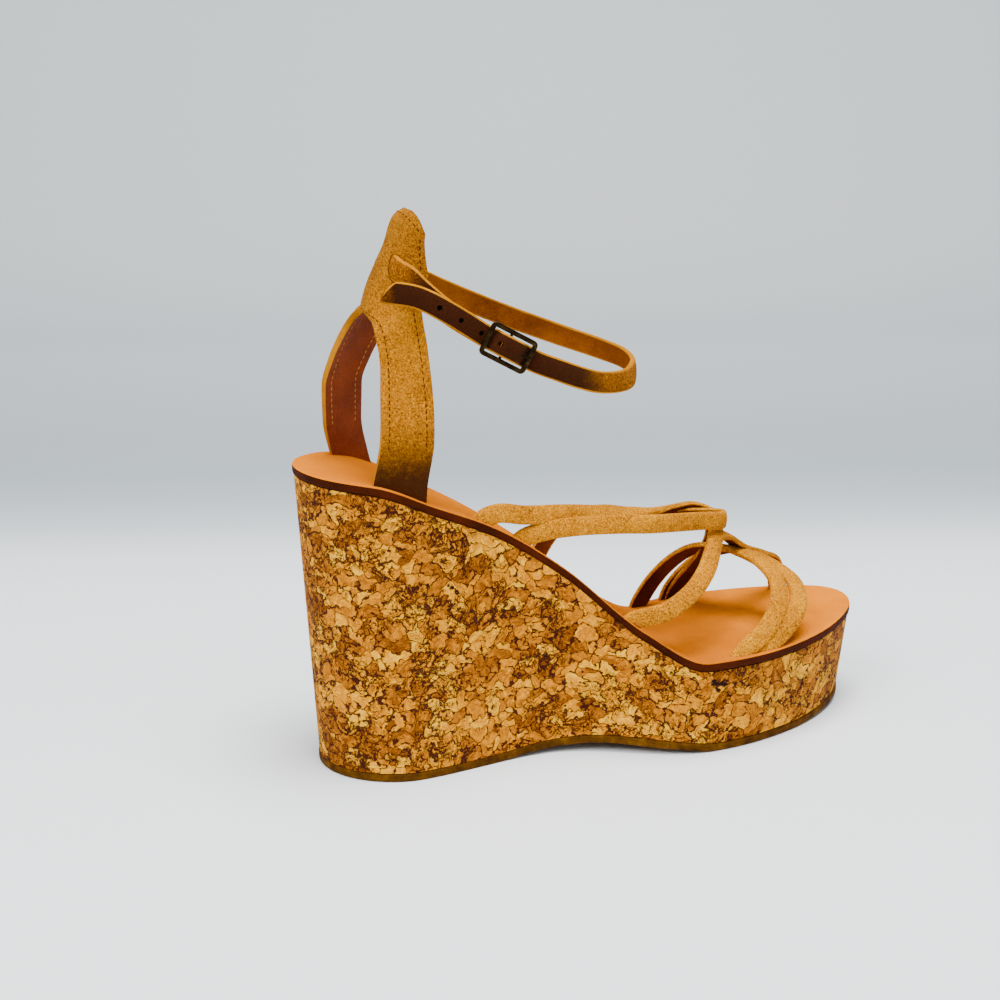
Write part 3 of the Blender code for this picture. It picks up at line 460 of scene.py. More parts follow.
def rubberMaterial():
    mat, tree, shader = newMaterial("brownRubber", 0.7, specular=0.05)
    coords = objectCoords(tree)
    scuff = noiseNode(tree, coords, 180, 5, 0.65)
    color = rampNode(tree, scuff.outputs["Fac"], [(0.3, linear(46, 24, 2)), (0.55, linear(84, 50, 4)), (0.8, linear(122, 82, 18))])
    tree.links.new(color.outputs["Color"], shader.inputs["Base Color"])
    fine = noiseNode(tree, coords, 2200, 3)
    addBump(tree, shader, fine.outputs["Fac"], 0.0002, 0.6)
    return mat


def brassMaterial():
    mat, tree, shader = newMaterial("antiqueBrass", 0.38, 1.0)
    coords = objectCoords(tree)
    wear = noiseNode(tree, coords, 420, 4, 0.6)
    color = rampNode(tree, wear.outputs["Fac"], [(0.35, linear(24, 16, 8)), (0.62, linear(50, 35, 18)), (0.85, linear(104, 78, 42))])
    tree.links.new(color.outputs["Color"], shader.inputs["Base Color"])
    rough = mapRange(tree, wear.outputs["Fac"], 0.3, 0.8, 0.5, 0.28)
    tree.links.new(rough, shader.inputs["Roughness"])
    addBump(tree, shader, noiseNode(tree, coords, 1600, 3).outputs["Fac"], 0.0001, 0.4)
    return mat


finish = {
    "counter": suedeMaterial("counterSuede", darkening=darkFoot),
    # the strap suede is a lighter copy of the counter suede: painted light for the strong top light on the strap tops
    "straps": suedeMaterial("strapSuede", (112, 60, 0), (184, 114, 0), (234, 162, 8)),
    "ankle": suedeMaterial("ankleSuede", (76, 38, 0), (130, 72, 0), (186, 116, 0), handledEnd),
    "cutEdge": leatherMaterial("cutEdge", (136, 80, 0), (192, 126, 6), 0.9, 1400, specular=0.03),
    "lining": leatherMaterial("liningLeather", (84, 28, 0), (140, 60, 2), 0.45, 1100, specular=0.15),
    "ankleLining": leatherMaterial("ankleLining", (84, 36, 0), (142, 76, 2), 0.8, 1300, specular=0.04),
    "strapLining": leatherMaterial("strapLining", (58, 20, 0), (104, 46, 2), 0.7, 1300, specular=0.05),
    # the footbed's darker heel and ball are painted shade of the heel counter and the straps, mixed with wear
    "footbed": leatherMaterial("footbedLeather", (200, 108, 0), (224, 128, 0), 0.5, 1000, specular=0.0, shadeAndWear=(158, 80, 0)),
    "footbedEdge": leatherMaterial("footbedEdge", (40, 10, 0), (72, 24, 2), 0.7, 1200, specular=0.04),
    "darkThread": leatherMaterial("darkThread", (46, 18, 0), (78, 36, 0), 0.7, 2400, specular=0.05),
    "paleThread": leatherMaterial("paleThread", (160, 96, 40), (204, 140, 76), 0.7, 2400, specular=0.05),
    "cork": corkMaterial(),
    "rubber": rubberMaterial(),
    "brass": brassMaterial(),
}
print("materials made")


# Modelling helpers


def gridPiece(name, columns, rows, place, slotAt=None):
    # a grid whose points are set by place(i, j), i along and j across, with the rims closed afterwards
    bpy.ops.object.select_all(action="DESELECT")
    bpy.ops.mesh.primitive_grid_add(x_subdivisions=columns, y_subdivisions=rows, size=1)
    obj = bpy.context.active_object
    obj.name = name
    mesh = obj.data
    mesh.name = name
    flat = np.empty(len(mesh.vertices) * 3)
    mesh.vertices.foreach_get("co", flat)
    flat = flat.reshape(-1, 3)
    i = np.rint((flat[:, 0] + 0.5) * columns).astype(int)
    j = np.rint((flat[:, 1] + 0.5) * rows).astype(int)
    mesh.vertices.foreach_set("co", (place(i, j) + toWorld).ravel())
    if slotAt:
        for polygon in mesh.polygons:
            corners = list(polygon.vertices)
            polygon.material_index = slotAt(i[corners].mean(), j[corners].mean())
    mesh.update()
    return obj


def closePiece(obj, angle=40, fill=True):
    # merge the seam, close the rims, turn the faces outward
    bpy.ops.object.select_all(action="DESELECT")
    obj.select_set(True)
    bpy.context.view_layer.objects.active = obj
    bpy.ops.object.mode_set(mode="EDIT")
    bpy.ops.mesh.select_all(action="SELECT")
    bpy.ops.mesh.remove_doubles(threshold=0.000004)
    if fill:
        bpy.ops.mesh.fill_holes(sides=0)
        bpy.ops.mesh.select_all(action="SELECT")
    bpy.ops.mesh.normals_make_consistent(inside=False)
    bpy.ops.object.mode_set(mode="OBJECT")
    bpy.ops.object.shade_smooth_by_angle(angle=math.radians(angle))


def applyModifiers(obj):
    bpy.ops.object.select_all(action="DESELECT")
    obj.select_set(True)
    bpy.context.view_layer.objects.active = obj
    for modifier in list(obj.modifiers):
        bpy.ops.object.modifier_apply(modifier=modifier.name)


def cutWith(obj, cutter):
    hole = obj.modifiers.new("hole", "BOOLEAN")
    hole.operation = "DIFFERENCE"
    hole.solver = "EXACT"
    hole.object = cutter
    applyModifiers(obj)
    bpy.data.objects.remove(cutter)


def joined(name, pieces):
    bpy.ops.object.select_all(action="DESELECT")
    for piece in pieces:
        piece.select_set(True)
    bpy.context.view_layer.objects.active = pieces[0]
    bpy.ops.object.join()
    pieces[0].name = name
    pieces[0].data.name = name
    return pieces[0]


def wear(obj, *materials):
    for mat in materials:
        obj.data.materials.append(mat)


def keep(obj, slotName, *nodes):
    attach(obj, "root")
    for node in nodes:
        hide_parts(node)


def stationShare(i, count):
    return (1 - np.cos(np.pi * i / count)) / 2    # closer together at heel and toe


def footbedOutline(t, inset, depth):
    x = inset + t * (length - 2 * inset)
    pair = edgesAt(t, inset)
    return [np.stack([x, y, footbedHeight(x, y) - depth], axis=-1) for y in pair]


def treadOutline(t, step, height):
    x = sole["heelRake"] - step + t * (length - sole["heelRake"] - sole["toeRake"] + 2 * step)
    narrowing = (sole["ballOuter"] - sole["sideRake"] + step) / sole["ballOuter"]
    middle = centreDrift(t)
    return [np.stack([x, middle + (y - middle) * narrowing, treadHeight(t) + height + 0 * x], axis=-1)
            for y in edgesAt(t)]


def ringOf(top, rim, bottom):
    # steps round a slab's section: across the top, down the inner side, back below, up the outer side
    ring = [(share, 0) for share in np.linspace(-1, 1, top + 1)]
    ring += [(1, down) for down in range(1, rim)]
    ring += [(share, rim) for share in np.linspace(1, -1, bottom + 1)]
    ring += [(-1, down) for down in range(rim - 1, 0, -1)]
    return np.array(ring, float)


# Cork wedge
cork = {"along": 330, "down": 90, "stepIn": 0.0005, "gap": 0.0002, "chipDepth": 0.00022, "pitDepth": 0.0008}
ring = ringOf(4, cork["down"], 4)


def corkPlace(i, j):
    t = stationShare(i, cork["along"])
    share, down = ring[j % len(ring)].T
    down = down[:, None] / cork["down"]
    across = (share[:, None] + 1) / 2
    top = footbedOutline(t, cork["stepIn"], sole["insoleThickness"] + cork["gap"])
    low = treadOutline(t, 0, sole["outsoleThickness"] + cork["gap"])
    outer = top[0] * (1 - down) + low[0] * down
    inner = top[1] * (1 - down) + low[1] * down
    return outer * (1 - across) + inner * across


wedge = gridPiece("corkWedge", cork["along"], len(ring), corkPlace)
closePiece(wedge, 50, False)
wear(wedge, finish["cork"])
print("cork wedge made")

# Footbed cover, with a rolled dark edge
footbed = {"along": 170, "across": 36, "dish": 0.0006, "round": 0.0009, "rimSteps": 8}
rim = footbed["rimSteps"]
coverRing = ringOf(footbed["across"], rim, 6)


def coverPlace(i, j):
    t = stationShare(i, footbed["along"])
    share, down = coverRing[j % len(coverRing)].T
    depth = down / rim * sole["insoleThickness"]
    nearTop = np.clip(1 - depth / footbed["round"], 0, 1)
    nearLow = np.clip(1 - (sole["insoleThickness"] - depth) / footbed["round"], 0, 1)
    inset = footbed["round"] * (1 - np.sqrt(1 - np.maximum(nearTop, nearLow) ** 2))
    x = inset + t * (length - 2 * inset)
    outer, inner = edgesAt(t, inset)
    y = outer + (inner - outer) * (share + 1) / 2
    dish = np.where(down == 0, footbed["dish"] * (1 - share**4) * np.minimum(1, endRounding(t) * 1.5), 0)
    return np.stack([x, y, footbedHeight(x, y) - depth - dish], axis=-1)


def coverSlot(i, j):
    return 0 if j < footbed["across"] + 1 or j > len(coverRing) - 1 else 1


cover = gridPiece("footbedCover", footbed["along"], len(coverRing), coverPlace, coverSlot)
closePiece(cover, 50, False)
wear(cover, finish["footbed"], finish["footbedEdge"])
print("footbed made")

# Rubber outsole
outsole = {"along": 170, "stepOut": 0.0003, "round": 0.0007, "rimSteps": 8}
treadRing = ringOf(6, outsole["rimSteps"], 6)


def treadPlace(i, j):
    t = stationShare(i, outsole["along"])
    share, down = treadRing[j % len(treadRing)].T
    depth = down / outsole["rimSteps"] * sole["outsoleThickness"]
    nearTop = np.clip(1 - depth / outsole["round"], 0, 1)
    nearLow = np.clip(1 - (sole["outsoleThickness"] - depth) / outsole["round"], 0, 1)
    inset = outsole["round"] * (1 - np.sqrt(1 - np.maximum(nearTop, nearLow) ** 2))
    outer, inner = treadOutline(t, outsole["stepOut"] - inset, sole["outsoleThickness"] - depth)
    across = (share[:, None] + 1) / 2
    return outer * (1 - across) + inner * across


tread = gridPiece("rubberOutsole", outsole["along"], len(treadRing), treadPlace)
closePiece(tread, 50, False)
wear(tread, finish["rubber"])
keep(tread, "rubber", "outsole")
print("outsole made")

# Forefoot straps, outer root to inner root: share of the length, share of the way from the centre
# line to the slits (outer negative), share of the instep rise, azimuth and elevation of the face
strap = {"width": 0.0075, "toeWidth": 0.0078, "thickness": 0.0022, "crown": 0.0006, "tail": 0.0060,
         "step": 0.0015, "turn": 5.0, "tipLength": 0.0075}
instepStrap = [
    (0.350, -1.00, 0.00, -90, 5), (0.389, -1.05, 0.19, -90, 5), (0.447, -0.98, 0.44, -90, 8),
    (0.517, -0.70, 0.74, -85, 8), (0.577, -0.49, 0.91, -80, 5), (0.682, -0.27, 0.96, -75, 0),
    (0.731, -0.17, 0.91, -70, 0), (0.741, -0.08, 0.90, -10, 0), (0.736, 0.04, 0.89, 75, 0),
    (0.700, 0.24, 0.88, 85, 0), (0.638, 0.50, 0.87, 90, 0), (0.550, 0.78, 0.75, 90, 5),
    (0.475, 0.97, 0.42, 90, 5), (0.430, 1.00, 0.00, 90, 5),
]
rearStrap = [
    (0.280, -1.00, 0.00, -90, 10), (0.310, -1.01, 0.12, -90, 12), (0.355, -1.04, 0.22, -90, 15),
    (0.420, -0.84, 0.42, -90, 25), (0.501, -0.36, 0.72, -88, 45), (0.590, 0.02, 0.96, -80, 80),
    (0.658, 0.25, 0.98, 80, 45), (0.712, 0.36, 0.92, 75, 25), (0.748, 0.34, 0.82, 50, 10),
    (0.755, 0.40, 0.66, 60, 10), (0.744, 0.50, 0.47, 80, 15), (0.733, 0.68, 0.32, 90, 15),
    (0.722, 0.86, 0.17, 90, 10), (0.712, 1.00, 0.00, 90, 5),
]
crossStrap = [
    (0.522, -1.00, 0.00, -90, 5), (0.573, -0.99, 0.27, -90, 15), (0.631, -0.72, 0.49, -90, 30),
    (0.675, -0.51, 0.60, -85, 35), (0.703, -0.32, 0.71, -75, 25), (0.722, -0.16, 0.79, -60, 40),
    (0.752, 0.02, 0.73, -10, 75), (0.795, 0.20, 0.57, 40, 60), (0.848, 0.46, 0.42, 60, 45),
    (0.892, 0.80, 0.26, 75, 30), (0.908, 1.00, 0.00, 80, 5),
]
rearToeStrap = [
    (0.705, -1.00, 0.00, -90, 5), (0.755, -0.97, 0.15, -90, 20), (0.787, -0.88, 0.27, -85, 30),
    (0.809, -0.69, 0.35, -80, 35), (0.820, -0.46, 0.40, -70, 45), (0.812, -0.13, 0.49, -60, 60),
    (0.785, 0.12, 0.55, 0, 88), (0.755, 0.32, 0.57, 80, 65), (0.724, 0.50, 0.54, 85, 45),
    (0.696, 0.68, 0.43, 90, 30), (0.665, 0.86, 0.24, 90, 20), (0.640, 1.00, 0.00, 90, 5),
]
frontToeStrap = [
    (0.752, -1.00, 0.00, -90, 5), (0.794, -1.00, 0.12, -90, 20), (0.827, -0.93, 0.22, -85, 30),
    (0.848, -0.75, 0.29, -80, 35), (0.855, -0.48, 0.36, -70, 45), (0.840, -0.10, 0.43, -60, 60),
    (0.812, 0.18, 0.49, 0, 88), (0.784, 0.42, 0.50, 80, 65), (0.756, 0.66, 0.43, 85, 45),
    (0.733, 0.84, 0.29, 90, 30), (0.711, 0.96, 0.12, 90, 15), (0.702, 1.00, 0.00, 90, 5),
]


def solePoint(along, across, rise):
    outer, inner = edgesAt(along, sole["slitInset"])
    middle = centreDrift(along)
    side = np.where(across > 0, inner - middle, middle - outer)
    x = along * length
    y = middle + across * side
    return np.stack([x, y, footbedHeight(x, y) + rise * sole["instepRise"]], axis=-1)


def facing(azimuth, elevation):
    a, e = math.radians(azimuth), math.radians(elevation)
    return np.array([math.cos(a) * math.cos(e), math.sin(a) * math.cos(e), math.sin(e)])


def smoothPath(points, faces, step, turn):
    # curve through the points, closer where it turns: places, directions ahead, outward faces
    rows = np.hstack([np.asarray(points, float), np.asarray(faces, float)])
    rows = np.vstack([2 * rows[0] - rows[1], rows, 2 * rows[-1] - rows[-2]])
    gaps = np.linalg.norm(np.diff(rows[:, :3], axis=0), axis=1)
    knots = np.concatenate([[0], np.cumsum(np.sqrt(gaps))])
    dense = []
    for i in range(1, len(rows) - 2):
        k0, k1, k2, k3 = knots[i - 1:i + 3]
        for k in np.linspace(k1, k2, max(6, int(gaps[i] / 0.0002)), endpoint=False):
            a1 = rows[i - 1] + (rows[i] - rows[i - 1]) * (k - k0) / (k1 - k0)
            a2 = rows[i] + (rows[i + 1] - rows[i]) * (k - k1) / (k2 - k1)
            a3 = rows[i + 1] + (rows[i + 2] - rows[i + 1]) * (k - k2) / (k3 - k2)
            b1 = a1 + (a2 - a1) * (k - k0) / (k2 - k0)
            b2 = a2 + (a3 - a2) * (k - k1) / (k3 - k1)
            dense.append(b1 + (b2 - b1) * (k - k1) / (k2 - k1))
    dense.append(rows[-2])
    dense = np.array(dense)
    ahead = np.gradient(dense[:, :3], axis=0)
    ahead /= np.linalg.norm(ahead, axis=1)[:, None]
    face = dense[:, 3:] - (dense[:, 3:] * ahead).sum(axis=1)[:, None] * ahead
    face /= np.linalg.norm(face, axis=1)[:, None]
    kept = [0]
    for i in range(1, len(dense) - 1):
        last = kept[-1]
        far = np.linalg.norm(dense[i, :3] - dense[last, :3])
        bend = math.degrees(math.acos(min(1.0, ahead[i] @ ahead[last])))
        twist = math.degrees(math.acos(min(1.0, face[i] @ face[last])))
        if far >= step or (max(bend, twist) >= turn and far >= 0.0002):
            kept.append(i)
    kept.append(len(dense) - 1)
    return dense[kept, :3], ahead[kept], face[kept]


def strapSection(width, thickness):
    # round the section: outer face, cut edge, lining, cut edge; each step with its material
    half, flat = width / 2, thickness / 2
    corner = 0.32 * thickness
    across = np.linspace(-(half - corner), half - corner, 9)
    side = []
    for angle in (60, 30, 0, -30, -60):
        a = math.radians(angle)
        drop = flat - corner
        side.append((half - corner + corner * math.cos(a), math.copysign(drop, angle + 1) + corner * math.sin(a)))
    ring = [(s, flat) for s in across] + side + [(-s, -flat) for s in across]
    ring += [(-s, -lift) for s, lift in side]
    kinds = [0] * 8 + [1] * 6 + [2] * 8 + [1] * 6
    return np.array(ring), kinds


def ribbonPiece(name, path, width, thickness, slant=0.0):
    points, ahead, face = path
    ring, kinds = strapSection(width, thickness)
    steps = np.linalg.norm(np.diff(points, axis=0), axis=1)
    toTip = np.concatenate([np.cumsum(steps[::-1])[::-1], [0]])

    def place(i, j):
        s, lift = ring[j % len(ring)].T
        share = s / (width / 2)
        n = face[i]
        side = np.cross(ahead[i], n)
        rise = lift + strap["crown"] * (0.5 - share**2)
        late = np.clip(1 - toTip[i] / strap["tipLength"], 0, 1)
        tip = late * slant * share - late**3 * abs(slant) * 0.5 * share**4
        return points[i] + side * s[:, None] + n * rise[:, None] + ahead[i] * tip[:, None]

    piece = gridPiece(name, len(points) - 1, len(ring), place, lambda i, j: kinds[int(j) % len(kinds)])
    closePiece(piece, 50)
    for polygon in piece.data.polygons:
        if len(polygon.vertices) > 4:
            polygon.material_index = 1
    return piece


def vampPath(table):
    points = [solePoint(*(np.float64(v) for v in row[:3])) for row in table]
    faces = [facing(*row[3:]) for row in table]
    tails = []
    for row, above in ((table[0], points[1]), (table[-1], points[-2])):
        root = solePoint(*(np.float64(v) for v in row[:3]))
        lean = (root - above)[0] / np.linalg.norm(root - above)
        tail = solePoint(np.float64(row[0] + lean / 2 * strap["tail"] / length), np.float64(row[1]), 0)
        tails.append(np.array([tail[0], tail[1], root[2] - strap["tail"]]))
    return smoothPath([tails[0], *points, tails[1]], [faces[0], *faces, faces[-1]], strap["step"], strap["turn"])


vampStraps = []
for name, table, width in (("instepStrap", instepStrap, "width"), ("rearStrap", rearStrap, "width"),
                           ("crossStrap", crossStrap, "width"), ("rearToeStrap", rearToeStrap, "toeWidth"),
                           ("frontToeStrap", frontToeStrap, "toeWidth")):
    piece = ribbonPiece(name, vampPath(table), strap[width], strap["thickness"])
    wear(piece, finish["straps"], finish["straps"], finish["strapLining"])
    vampStraps.append(piece)
    keep(piece, "strap_suede", "vamp_straps")
print("forefoot straps made")

# Counter: share of the crest's rise, then length and slit-line shares of its back and front edges
counter = {"wall": 0.0024, "crestRise": 0.0585, "tabRise": 0.0355, "tabDrop": 0.0095, "tabCurve": 3.0,
           "tabReach": 0.99, "columns": 20, "legRows": 70, "tabRows": 36, "seamInset": 0.0030,
           "stitch": 0.0018, "thread": 0.00024}
outerLeg = [
    (-0.20, 0.100, -1.00, 0.184, -1.00), (-0.10, 0.100, -1.00, 0.186, -1.00), (0.20, 0.115, -0.95, 0.200, -0.98),
    (0.50, 0.123, -0.76, 0.204, -0.84), (0.78, 0.129, -0.50, 0.203, -0.64), (0.92, 0.129, -0.34, 0.200, -0.55),
    (1.00, 0.122, 0.00, 0.199, -0.50),
]
innerLeg = [
    (-0.20, 0.094, 0.98, 0.155, 1.00), (-0.05, 0.082, 0.91, 0.145, 0.97), (0.20, 0.069, 0.79, 0.134, 0.89),
    (0.45, 0.067, 0.66, 0.134, 0.77), (0.62, 0.077, 0.54, 0.147, 0.69), (0.78, 0.092, 0.40, 0.166, 0.60),
    (0.92, 0.110, 0.26, 0.192, 0.52),
    (1.00, 0.122, 0.00, 0.206, 0.48),
]
# Tab: share of its rise, length share at the centre line, then outer and inner front edges
tab = [
    (0.00, 0.122, 0.199, -0.50, 0.206, 0.48), (0.20, 0.131, 0.208, -0.46, 0.209, 0.45),
    (0.42, 0.145, 0.212, -0.44, 0.210, 0.43), (0.67, 0.162, 0.209, -0.40, 0.208, 0.39),
    (0.85, 0.170, 0.208, -0.38, 0.207, 0.37), (0.94, 0.177, 0.208, -0.37, 0.207, 0.36),
    (1.00, 0.194, 0.208, -0.36, 0.207, 0.35),
]
crest = sole["heelHeight"] + counter["crestRise"]


def bentRow(back, front, corner, v):
    u = np.sin(np.pi / 2 * v)[:, None]
    return back * (1 - u) ** 2 + corner * 2 * u * (1 - u) + front * u**2


def legPoint(table, u, v):
    # u up the leg, v from its back edge to its front edge, both 0 to 1
    share = table[0][0] + (table[-1][0] - table[0][0]) * (1 - (1 - u) ** 1.6)
    backT, backY, frontT, frontY = (curveThrough(table, share, c) for c in (1, 2, 3, 4))
    back = solePoint(backT, backY, 0)[:, :2]
    front = solePoint(frontT, frontY, 0)[:, :2]
    bend = (np.maximum(0, share) ** 2)[:, None]
    middle = (back + front) / 2 * (1 - bend) + np.stack([back[:, 0], front[:, 1]], axis=-1) * bend
    return np.column_stack([bentRow(back, front, middle, v), sole["heelHeight"] + share * counter["crestRise"]])


def tabPoint(u, v):
    # u up the tab, v from the outer front edge round the heel to the inner one
    rise = 1 - (1 - u) ** 1.3
    backT, outerT, outerY, innerT, innerY = (curveThrough(tab, rise, c) for c in (1, 2, 3, 4, 5))
    back = solePoint(backT, 0 * backT, 0)[:, :2]
    isOuter = (v < 0.5)[:, None]
    front = np.where(isOuter, solePoint(outerT, outerY, 0)[:, :2], solePoint(innerT, innerY, 0)[:, :2])
    corner = np.stack([back[:, 0] + 0.4 * rise**3 * (front[:, 0] - back[:, 0]), front[:, 1]], axis=-1)
    share = np.abs(2 * v - 1)
    drop = 1 - np.sqrt(1 - (counter["tabReach"] * np.sin(np.pi / 2 * share)) ** counter["tabCurve"])
    return np.column_stack([bentRow(back, front, corner, share),
                            crest + rise * (counter["tabRise"] - counter["tabDrop"] * drop)])


legs = []
for name, table in (("outerLeg", outerLeg), ("innerLeg", innerLeg)):
    place = lambda i, j, table=table: legPoint(table, i / counter["legRows"], j / counter["columns"])
    legs.append(gridPiece(name, counter["legRows"], counter["columns"], place))
tabPlace = lambda i, j: tabPoint(i / counter["tabRows"], j / (2 * counter["columns"]))
legs.append(gridPiece("tab", counter["tabRows"], 2 * counter["columns"], tabPlace))
heelCounter = joined("heelCounter", legs)
closePiece(heelCounter, 60, False)
ankleAxis = Vector((0.045, 0, 0)) + Vector(toWorld)
outward = sum((p.center - ankleAxis).to_2d().dot(p.normal.to_2d()) * p.area for p in heelCounter.data.polygons)
if outward < 0:
    heelCounter.data.flip_normals()
wear(heelCounter, finish["counter"], finish["lining"], finish["cutEdge"])
wall = heelCounter.modifiers.new("wall", "SOLIDIFY")
wall.thickness = counter["wall"]
wall.offset = 0
wall.material_offset = 1
wall.material_offset_rim = 2
softEdge = heelCounter.modifiers.new("softEdge", "BEVEL")
softEdge.width = 0.0005
softEdge.segments = 2
softEdge.limit_method = "ANGLE"
softEdge.angle_limit = math.radians(60)
applyModifiers(heelCounter)
print("counter made")

# Stitches of the counter: one small bead, copied along lines that keep their distance from the edges


def insetLine(surface, edge, inset, first=0.0, last=1.0, count=90):
    # places (u, v) on a surface a fixed distance in from its edge v = 0, v = 1 or u = 1
    shares = np.linspace(0, 1, 80)
    line = []
    for s in np.linspace(first, last, count):
        u, v = (shares, np.full(80, s)) if edge == "top" else (np.full(80, s), shares)
        row = surface(u, v)
        run = np.concatenate([[0], np.cumsum(np.linalg.norm(np.diff(row, axis=0), axis=1))])
        if run[-1] < 2.4 * inset:
            continue
        at = np.interp(inset if edge == "start" else run[-1] - inset, run, shares)
        line.append((at, s) if edge == "top" else (s, at))
    return np.array(line)


def stitchesOn(surface, line, side):
    u, v = line.T
    step = 0.002
    at = surface(u, v)
    climb = surface(np.minimum(u + step, 1), v) - surface(np.maximum(u - step, 0), v)
    over = surface(u, np.minimum(v + step, 1)) - surface(u, np.maximum(v - step, 0))
    normal = np.cross(climb, over)
    normal /= np.maximum(np.linalg.norm(normal, axis=1), 1e-12)[:, None]
    away = at - np.array([0.045, 0, 0])
    normal *= np.sign((normal[:, :2] * away[:, :2]).sum(axis=1))[:, None]
    at = at + normal * side * (counter["wall"] / 2 + 0.00004)
    run = np.concatenate([[0], np.cumsum(np.linalg.norm(np.diff(at, axis=0), axis=1))])
    beads = []
    for start in np.arange(0.0006, run[-1] - counter["stitch"], counter["stitch"] * 1.35):
        ends = [np.array([np.interp(s, run, at[:, c]) for c in range(3)]) for s in (start, start + counter["stitch"])]
        face = np.array([np.interp(start, run, normal[:, c]) for c in range(3)]) * side
        beads.append((ends[0], ends[1], face))
    return beads


def sewn(name, beads, mat):
    bpy.ops.object.select_all(action="DESELECT")
    bpy.ops.mesh.primitive_uv_sphere_add(segments=8, ring_count=5, radius=1)
    bead = bpy.context.active_object
    bpy.ops.object.shade_smooth()
    copies = []
    for near, far, face in beads:
        copy = bead.copy()
        copy.data = bead.data.copy()
        bpy.context.scene.collection.objects.link(copy)
        ahead = Vector(far - near)
        side = Vector(face).cross(ahead).normalized()
        turn = Matrix((ahead.normalized(), side, ahead.normalized().cross(side))).transposed().to_4x4()
        size = Matrix.Diagonal((ahead.length / 2, counter["thread"], counter["thread"] * 0.8, 1))
        middle = Matrix.Translation(Vector((near + far) / 2) + Vector(toWorld))
        copy.data.transform(middle @ turn @ size)
        copies.append(copy)
    bpy.data.objects.remove(bead)
    thread = joined(name, copies)
    wear(thread, mat)
    return thread


seamInset = counter["seamInset"]
outerSide = lambda u, v: legPoint(outerLeg, u, v)
innerSide = lambda u, v: legPoint(innerLeg, u, v)
seams = []
for surface in (outerSide, innerSide):
    seams.append((surface, insetLine(surface, "start", seamInset, 0.20, 0.97)))
    seams.append((surface, insetLine(surface, "end", seamInset, 0.20, 1.0)))
seams.append((tabPoint, insetLine(tabPoint, "start", seamInset, 0.0, 0.80)))
seams.append((tabPoint, insetLine(tabPoint, "end", seamInset, 0.0, 0.80)))
seams.append((tabPoint, insetLine(tabPoint, "top", seamInset, 0.14, 0.86)))
outside = sewn("counterStitches", [b for s, line in seams for b in stitchesOn(s, line, 1)], finish["darkThread"])
inside = sewn("liningStitches", [b for s, line in seams for b in stitchesOn(s, line, -1)], finish["paleThread"])
for thread in (outside, inside):
    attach(thread, "root")
print("stitches made")

# Ankle strap: length share, share of the ankle's half width, share of the fall, azimuth and elevation
ankle = {"halfWidth": 0.0275, "fall": 0.0470, "slitShare": 0.46, "width": 0.0086, "thickness": 0.0020,
         "endLap": 0.0024, "dip": 0.0040, "tipSlant": -0.0027, "holePitch": 0.0093, "hole": 0.0021, "holes": 4}
toSlits = [
    (0.232, -0.79, 0.34, -95, 0), (0.195, -0.69, 0.17, -105, 0), (0.178, -0.55, 0.07, -125, 3),
    (0.166, -0.43, 0.03, -145, 8), (0.162, -0.31, 0.00, -165, 14), (0.163, -0.16, 0.00, -178, 20),
    (0.164, 0.00, 0.00, 180, 22), (0.163, 0.16, 0.00, 178, 20), (0.162, 0.31, 0.00, 165, 14),
    (0.166, 0.43, 0.03, 145, 8), (0.178, 0.54, 0.06, 125, 3), (0.195, 0.62, 0.12, 105, 0),
]
roundTheFront = [
    (0.235, 0.69, 0.21, 100, 0), (0.270, 0.80, 0.30, 95, 0), (0.377, 0.95, 0.55, 90, 0),
    (0.480, 0.87, 0.76, 75, 3), (0.544, 0.68, 0.88, 55, 5), (0.573, 0.42, 0.94, 25, 8),
    (0.578, 0.12, 0.99, 0, 8), (0.562, -0.16, 1.04, -30, 8), (0.531, -0.44, 1.04, -50, 5),
    (0.485, -0.72, 1.00, -65, 3), (0.447, -0.86, 0.935, -78, 2), (0.412, -0.93, 0.86, -85, 0),
]
pastTheBuckle = [(0.235, -0.90, 0.35, -93, 0), (0.185, -0.85, 0.21, -98, 3),
                 (0.134, -0.87, 0.15, -94, 4)]
buckle = {"length": 0.0200, "height": 0.0136, "barWidth": 0.0019, "barDepth": 0.0015, "along": 0.323,
          "across": -1.00, "share": 0.635, "slope": -29.5, "centreBar": 0.0006, "clearance": 0.0002,
          "prong": 0.0015, "corner": 0.0011}


def anklePoint(along, across, share):
    top = crest + ankle["slitShare"] * counter["tabRise"]
    return np.array([along * length, across * ankle["halfWidth"], top - share * ankle["fall"]])


def bucklePoint(ahead, up, out):
    middle = anklePoint(buckle["along"], buckle["across"], buckle["share"])
    c, s = math.cos(math.radians(buckle["slope"])), math.sin(math.radians(buckle["slope"]))
    return middle + ahead * np.array([c, 0, s]) + up * np.array([-s, 0, c]) + out * np.array([0, -1, 0])


half = ankle["thickness"] / 2
loop = buckle["centreBar"] + buckle["clearance"] + half + strap["crown"] / 2
underEnds = -buckle["barDepth"] / 2 - 3 * buckle["clearance"] - half - strap["crown"] / 2
barLevel = -loop - half - strap["crown"] / 2
overBar = buckle["clearance"] + half + strap["crown"]
lap = underEnds - ankle["thickness"] - strap["crown"] - 0.0003
reach = (buckle["length"] - buckle["barWidth"]) / 2
fold = [
    (-ankle["endLap"], barLevel + loop * 0.9, (-0.1, 1)), (0.0, barLevel + loop, (0, 1)),
    (loop * 0.72, barLevel + loop * 0.7, (0.7, 0.7)), (loop, barLevel, (1, 0)),
    (loop * 0.72, barLevel - loop * 0.7, (0.7, -0.7)), (0.0, barLevel - loop, (0, -1)),
    (-reach * 0.5, min(barLevel - loop, lap), (0, -1)), (-reach, lap, (0, -1)),
]
wave = [
    (reach + ankle["dip"], underEnds * 0.8), (reach, underEnds), (reach * 0.84, underEnds * 0.95),
    (reach * 0.36, overBar * 0.8), (0.0, overBar), (-reach * 0.36, overBar * 0.8),
    (-reach * 0.84, underEnds * 0.95), (-reach, underEnds),
]
out = facing(-90, 0)
